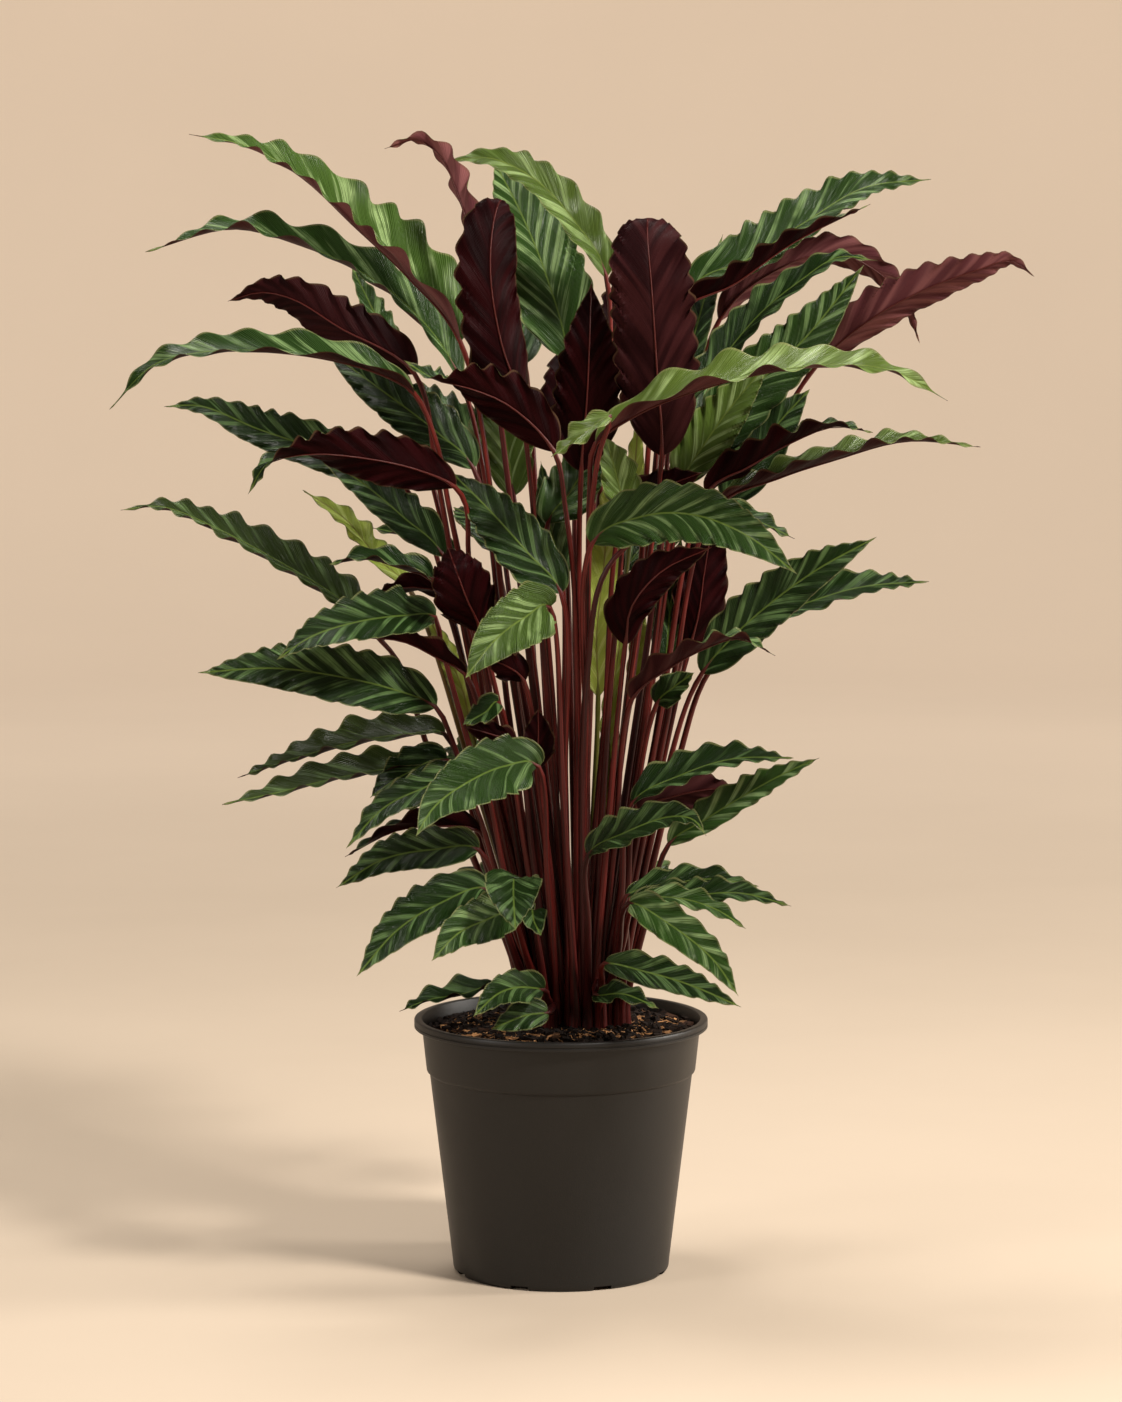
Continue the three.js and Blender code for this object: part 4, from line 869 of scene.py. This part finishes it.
def add_blade(parts, line, flip, tone, rng):
    """Thin closed blade with a fold, waves, ruffles and a groove over its midrib."""
    length = line.blade_length
    rings = math.floor(BLADE_RINGS_LEAST + length / BLADE_RING_PITCH + 0.5)
    rows = max(STATIONS_LEAST, round(length / STATION))
    share = np.arange(rows) / rows
    point, up, left = (item[:, None, :] for item in line.frames(line.stalk_length + share * length))
    shape = outline(share, line.fall)
    least = np.where(share < NECK_SHARE, STALK_TOP_RADIUS, HALF_WIDTH_LEAST)
    half = np.maximum(line.width * shape / 2, least)
    wave = np.clip(share * rings, 0, 1) * flip * np.cos(math.pi * rings * share) * np.sqrt(shape)
    bend = wave * BEND_SHARE * WAVE_SHARE * line.width
    slope = FOLD_AT_BASE + (FOLD_AT_TIP - FOLD_AT_BASE) * share
    slope = slope + FOLD_ON_EDGE * np.sin(line.turn(share)) ** 2
    fold = slope * np.maximum(half - STALK_TOP_RADIUS, 0)
    quarter = math.pi / 2 * COLUMN_CROWDING
    s = np.sin(np.linspace(-1, 1, COLUMNS + 1) * quarter) / math.sin(quarter)
    across = half[:, None] * s
    size = np.broadcast_to(np.abs(s), across.shape)
    along = np.broadcast_to((share * length)[:, None], across.shape)
    slant = along - VEIN_SLANT * np.abs(across) - VEIN_CURVE * np.sqrt(np.abs(across))
    frill, scallop, turns = ruffles(line, share, shape, slant, s, rng)
    across = across * (1 + scallop)
    rise = fold[:, None] * size ** FOLD_POWER + bend[:, None] * np.sign(s) * size ** BEND_POWER + frill
    thick = HALF_THICKNESS * np.sqrt(np.clip(1 - s ** 2, 0, 1))
    groove = GROOVE_DEPTH * np.exp(-(across / GROOVE_HALF_WIDTH) ** 2)
    middle = point + left * across[:, :, None]
    top = middle + up * (rise + thick - groove)[:, :, None]
    under = middle + up * (rise - thick)[:, :, None]
    tip = line.frames(line.lengths[-1:])[0][0]
    place = np.stack([across, along, size], axis=-1)
    vein = np.stack([turns, np.zeros_like(turns), np.zeros_like(turns)], axis=-1)
    parts.add(blade_points(top, under, tip), blade_faces(rows), [0, 1, 1, 1], leaf_tone=tone,
              leaf_place=blade_points(place, place, (0, length, 0)),
              leaf_vein=blade_points(vein, vein, (turns[-1, 0], 0, 0)))


def add_stalk(parts, line, tone, leaf_count):
    """Stalk from below the soil to the blade, running on as the midrib under it."""
    stalk_steps, blade_steps = (max(TUBE_STEPS_LEAST, round(length / TUBE_STEP))
                                for length in (line.stalk_length, line.blade_length))
    stalk = np.linspace(0, line.stalk_length, stalk_steps)
    blade = np.linspace(line.stalk_length, line.lengths[-1], blade_steps)
    distance = np.concatenate([stalk, blade[1:]])
    point, up, left = line.frames(distance)
    radius = np.interp(distance / line.stalk_length, (0, 0.5, 1),
                       (STALK_FOOT_RADIUS, STALK_MID_RADIUS, STALK_TOP_RADIUS))
    flare = FLARE_ALONE if leaf_count == 1 else FLARE_SHARED
    radius = radius + flare * np.exp(-distance / FLARE_HEIGHT)
    past_joint = distance - line.stalk_length + JOINT_BEFORE
    radius = radius + JOINT_SWELL * np.exp(-(past_joint / JOINT_HALF) ** 2)
    rib = line.blade_share(distance)
    midrib = RIB_TIP_RADIUS + (RIB_RADIUS - RIB_TIP_RADIUS) * (1 - rib) ** RIB_POWER
    midrib = midrib + (STALK_TOP_RADIUS - RIB_RADIUS) * np.exp(-rib / RIB_NECK_SHARE)
    radius = np.where(rib > 0, midrib, radius)
    point = point - up * (np.minimum(rib * 12, 1) * (radius + 0.1))[:, None]
    point = np.concatenate([[point[0] - np.array([0, 0, STALK_SUNK])], point])
    up, left, radius, rib = (np.concatenate([item[:1], item]) for item in (up, left, radius, rib))
    distance = np.concatenate([[-STALK_SUNK], distance])
    vertices, faces = tube(point, left, up, radius)
    circle = flat_ring(1, 0, TUBE_SIDES)
    around = np.concatenate([np.tile(circle[:, 0] + 0.3 * circle[:, 1], len(point)), [0, 0]])
    along, share = (np.concatenate([np.repeat(item, TUBE_SIDES), [item[0], item[-1]]])
                    for item in (distance, rib))
    place = np.stack([around, along, share], axis=-1)
    parts.add(vertices, faces, [2, 2, 2], leaf_tone=tone, leaf_place=place, leaf_vein=(0, 0, 0))


def make_shoot(name, shoot, number, materials):
    """The leaves of one shoot as one piece; number is its place among all the shoots."""
    colour, foot, leaves = shoot
    draw = draw_numbers(DRAW_SEED + DRAW_SEED_STEP * number)
    rng = random.Random(RUFFLE_SEED + number)
    parts = Parts()
    for i, leaf in enumerate(leaves):
        lean = (i - (len(leaves) - 1) / 2) * STALK_FOOT_RADIUS
        line = LeafLine(foot_place(foot), leaf, lean)
        flip = -1 if next(draw) < 0.5 else 1
        pale, yellow = LEAF_TONES.get(name, {}).get(i, TONES[colour])
        tone = [pale, yellow, rng.random()]
        add_blade(parts, line, flip, tone, rng)
        add_stalk(parts, line, tone, len(leaves))
    thing = parts.build(f"leaves_{name}", materials)
    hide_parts(f"shoot_{name}")
    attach(thing, "root")


# Pot

def pot_wall_radius(z):
    if z <= TAPER_TOP:
        share = max((z - TAPER_FOOT) / (TAPER_TOP - TAPER_FOOT), 0)
        return TAPER_FOOT_RADIUS + (TAPER_TOP_RADIUS - TAPER_FOOT_RADIUS) * share - WALL
    share = max((z - COLLAR_FOOT) / (LIP_BOTTOM - COLLAR_FOOT), 0)
    return COLLAR_FOOT_RADIUS + (COLLAR_RADIUS - COLLAR_FOOT_RADIUS) * share - WALL


def make_pot(material):
    """Outside from the foot up with small roundings, over the lip, and down the inside."""
    lip = LIP_RADIUS
    inside = [(LIP_BOTTOM, 1), (COLLAR_FOOT, 0), (TAPER_TOP, 0), (FLOOR, 0)]
    profile = [
        (0, 0), (BASE_RADIUS - 0.5, 0), (BASE_RADIUS + 0.4, 0.4),
        (TAPER_FOOT_RADIUS - 0.6, 1.6), (TAPER_FOOT_RADIUS - 0.1, 3.2), (TAPER_FOOT_RADIUS, TAPER_FOOT),
        (TAPER_TOP_RADIUS, TAPER_TOP), (TAPER_TOP_RADIUS + 0.5, TAPER_TOP + 0.4),
        (COLLAR_FOOT_RADIUS - 0.3, COLLAR_FOOT - 0.6), (COLLAR_FOOT_RADIUS, COLLAR_FOOT + 0.3),
        (COLLAR_RADIUS, LIP_BOTTOM - 0.8), (COLLAR_RADIUS + 0.8, LIP_BOTTOM),
        (lip - 0.5, LIP_BOTTOM), (lip, LIP_BOTTOM + 0.5), (lip, LIP_BOTTOM + 2.0),
        (lip - LIP_GROOVE, LIP_BOTTOM + 2.4), (lip - LIP_GROOVE, LIP_BOTTOM + 2.9),
        (lip, LIP_BOTTOM + 3.3), (lip, POT_HEIGHT - 1.2), (lip - 0.4, POT_HEIGHT - 0.4),
        (lip - 1.2, POT_HEIGHT), (COLLAR_RADIUS + 1.2, POT_HEIGHT),
        (COLLAR_RADIUS + 0.3, POT_HEIGHT - 0.4), (COLLAR_RADIUS, POT_HEIGHT - 1.4),
        *((pot_wall_radius(z), z - drop) for z, drop in inside), (0, FLOOR),
    ]
    vertices, faces = turned(profile, POT_SIDES)
    pot = mesh_object("pot_fine", vertices, faces, [material])
    cutters = []
    for i in range(NOTCH_COUNT):
        angle = (i + 0.5) / NOTCH_COUNT * math.tau
        bpy.ops.mesh.primitive_cube_add(size=1)
        cutter = bpy.context.object
        middle = NOTCH_INNER_RADIUS + NOTCH_DEPTH / 2
        cutter.scale = (NOTCH_DEPTH * MM, NOTCH_WIDTH * MM, 2 * NOTCH_HEIGHT * MM)
        cutter.rotation_euler = (0, 0, angle)
        cutter.location = (middle * MM * math.cos(angle), middle * MM * math.sin(angle), 0)
        cut = pot.modifiers.new("notch", "BOOLEAN")
        cut.operation = "DIFFERENCE"
        cut.solver = "EXACT"
        cut.object = cutter
        cutters.append(cutter)
    bpy.context.view_layer.update()
    cut_mesh = bpy.data.meshes.new_from_object(pot.evaluated_get(bpy.context.evaluated_depsgraph_get()))
    pot.modifiers.clear()
    pot.data = cut_mesh
    for cutter in cutters:
        bpy.data.objects.remove(cutter)
    pot.data.materials.clear()
    pot.data.materials.append(material)
    pot.data.set_sharp_from_angle(angle=math.radians(35))
    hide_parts("pot")
    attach(pot, "root")


# Soil

def soil_height(x, y):
    """Height of the soil's surface: a low mound with lumps."""
    radius = math.hypot(x, y)
    slope = (SOIL_CROWN - SOIL_EDGE) / 2
    share = min(max((CROWN_RADIUS - radius) / CROWN_STEP, 0), 1)
    outer = SOIL_EDGE + slope * min(max((COLLAR_RADIUS - WALL - radius) / SOIL_SLOPE, 0), 1)
    base = outer + (SOIL_CROWN - SOIL_EDGE - slope) * share
    lumps = noise.fractal(Vector((x / LUMP_PITCH, y / LUMP_PITCH, 3.1)), 0.8, 2.1, 4)
    grains = noise.fractal(Vector((x / GRAIN_PITCH, y / GRAIN_PITCH, 8.4)), 0.9, 2.0, 3)
    return base + lumps * LUMP_HEIGHT + grains * GRAIN_HEIGHT


def make_soil(peat, bark):
    parts = Parts()
    rings = [flat_ring(pot_wall_radius(wall) - SOIL_GAP, height, SOIL_SIDES) for wall, height in (
        (FLOOR, FLOOR + 0.4), (TAPER_TOP, TAPER_TOP), (COLLAR_FOOT, COLLAR_FOOT + 0.3))]
    for radius in np.linspace(pot_wall_radius(SOIL_EDGE) - SOIL_GAP, SOIL_MIDDLE_RADIUS, SOIL_RINGS):
        ring = flat_ring(radius, 0.0, SOIL_SIDES)
        ring[:, 2] = [soil_height(x, y) for x, y in ring[:, :2]]
        rings.append(ring)
    vertices, faces = ring_body(np.array(rings), (0, 0, FLOOR + 0.4), (0, 0, soil_height(0, 0)))
    parts.add(vertices, faces, [0, 0, 0], bit_tone=(0, 0, 0))
    rng = random.Random(SOIL_SEED)
    for _ in range(CRUMB_COUNT):
        add_crumb(parts, rng)
    for _ in range(FIBRE_COUNT):
        add_fibre(parts, rng)
    soil = parts.build("soil_fine", [peat, bark])
    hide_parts("soil")
    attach(soil, "root")


def soil_spot(rng, margin):
    radius = (COLLAR_RADIUS - WALL - margin) * math.sqrt(rng.random())
    angle = rng.uniform(0, math.tau)
    x, y = radius * math.cos(angle), radius * math.sin(angle)
    return np.array([x, y, soil_height(x, y)])


def turned_axes(rng, tilt):
    """Three square axes, the first one near level where tilt is small."""
    heading = rng.uniform(0, math.tau)
    first = unit(np.array([math.cos(heading), math.sin(heading), rng.uniform(-tilt, tilt)]))
    second = unit(np.cross(first, np.array([rng.uniform(-0.4, 0.4), rng.uniform(-0.4, 0.4), 1.0])))
    return first, second, np.cross(first, second)


def add_crumb(parts, rng):
    """A clod of peat or a chip of bark: a rough eight-cornered lump."""
    bark = rng.random() < BARK_CHANCE
    long = (CRUMB_LEAST + CRUMB_GROWTH * rng.random() ** 2.5) * (1.3 if bark else 1)
    size = (long, long * rng.uniform(0.4, 0.8), long * rng.uniform(0.25, 0.5) * (0.6 if bark else 1.3))
    centre = soil_spot(rng, 4) + np.array([0, 0, size[2] * 0.4])
    axes = turned_axes(rng, 0.5)
    corners = []
    for lift in (-1, 1):
        for sides in ((-1, -1), (1, -1), (1, 1), (-1, 1)):
            corner = centre
            for axis, reach, sign in zip(axes, size, (*sides, lift)):
                corner = corner + axis * sign * reach * rng.uniform(0.55, 1.0)
            corners.append(corner)
    faces = np.array([[0, 3, 2, 1], [4, 5, 6, 7], [0, 1, 5, 4], [1, 2, 6, 5], [2, 3, 7, 6], [3, 0, 4, 7]])
    parts.add(np.array(corners), [faces], [1 if bark else 0], bit_tone=(0, 0, rng.random() ** 3))


def add_fibre(parts, rng):
    """A bent sliver of bark or root fibre."""
    length = rng.uniform(5, 20)
    start = soil_spot(rng, 14)
    first, second, _ = turned_axes(rng, 0.15)
    bend = rng.uniform(-0.25, 0.25)
    thickness = np.array([0.5, 0.9, 1, 1, 0.8, 0.4])
    centres = []
    for step in np.linspace(0, 1, len(thickness)):
        spot = start + first * length * (step - 0.5) + second * length * bend * math.sin(math.pi * step)
        spot[2] = soil_height(spot[0], spot[1]) + 0.5 + rng.uniform(0, 0.5)
        centres.append(spot)
    centres = np.array(centres)
    tangent = unit(np.gradient(centres, axis=0))
    up = unit(np.cross(tangent, second))
    radii = rng.uniform(0.3, 0.75) * thickness
    vertices, faces = tube(centres, np.cross(up, tangent), up, radii, FIBRE_SIDES)
    parts.add(vertices, faces, [1, 1, 1], bit_tone=(0, 0, rng.uniform(0.35, 1)))


# Stage

def make_stage():
    """Plaster floor and low wall, which shine a little behind the plant and far from it."""
    shader = Shader("floor_plaster", 0.85)
    cloud = shader.noise(shader.place(), 1.3, 5)
    shader.give("Base Color", shader.mix(cloud, (0.41, 0.332, 0.254), (0.5, 0.41, 0.318)))
    across, back, _ = shader.split(shader.place())
    behind = shader.span(back, -2, 3, 0.35, 1)
    far = shader.span(shader.length(shader.join(across, back, 0)), 0.9, 3.6, 0, 1)
    shader.give("Emission Color", (0.385, 0.305, 0.23, 1))
    shader.give("Emission Strength", shader.times(behind, far))
    cove = [(STAGE_RADIUS - COVE_RADIUS * (1 - math.sin(a)), COVE_RADIUS * (1 - math.cos(a)))
            for a in np.linspace(math.pi / 2, 0, COVE_STEPS)]
    outside = STAGE_RADIUS + STAGE_THICKNESS
    wall = [(0, -0.5), (outside, -0.5), (outside, STAGE_HEIGHT), (STAGE_RADIUS, STAGE_HEIGHT)]
    vertices, faces = turned([*wall, *cove, (0, 0)], STAGE_SIDES)
    floor = mesh_object("floor", vertices, faces, [shader.material])


def make_light(name, place, size, power, tint):
    light = bpy.data.lights.new(name, "AREA")
    light.shape = "DISK"
    light.size = size
    light.energy = power
    light.color = tint
    lamp = bpy.data.objects.new(name, light)
    lamp.location = place
    aim = Vector((0, 0, LAMP_AIM)) - Vector(place)
    lamp.rotation_euler = aim.to_track_quat("-Z", "Y").to_euler()
    bpy.context.scene.collection.objects.link(lamp)


def make_lights():
    make_light("key", (1.7, -1.6, 2.5), 0.6, 150, (1.0, 0.95, 0.88))
    make_light("fill", (-2.6, -1.6, 1.4), 0.9, 30, (1.0, 0.97, 0.94))
    make_light("side", (3.4, 0.2, 1.3), 0.8, 100, (1.0, 0.95, 0.88))
    make_light("top", (-0.4, 0.6, 2.8), 0.8, 60, (1.0, 0.96, 0.9))
    world = bpy.data.worlds.new("studio")
    world.use_nodes = True
    air = world.node_tree.nodes["Background"].inputs
    air["Color"].default_value = (0.78, 0.66, 0.53, 1)
    air["Strength"].default_value = 0.16
    bpy.context.scene.world = world
    bpy.context.scene.view_settings.view_transform = "Standard"


def make_camera():
    camera = bpy.data.cameras.new("camera")
    camera.sensor_fit = "VERTICAL"
    camera.sensor_height = CAMERA_SENSOR
    camera.lens = CAMERA_LENS
    eye = bpy.data.objects.new("camera", camera)
    eye.location = (0, -EYE_BACK * MM, EYE_HEIGHT * MM)
    eye.rotation_euler = (math.radians(90 - CAMERA_TILT), 0, 0)
    bpy.context.scene.collection.objects.link(eye)
    bpy.context.scene.camera = eye


def main():
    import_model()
    make_camera()
    leaf_materials = [make_leaf_top(), make_leaf_under(), make_stalk()]
    sides = {"left": LEFT, "right": RIGHT, "centre": CENTRE, "back": BACK}
    shoots = [(f"{side}_{i:02d}", shoot) for side in sides for i, shoot in enumerate(sides[side], 1)]
    for number, (name, shoot) in enumerate(shoots):
        make_shoot(name, shoot, number, leaf_materials)
    make_pot(make_pot_plastic())
    make_soil(make_peat(), make_bark())
    make_stage()
    make_lights()


main()
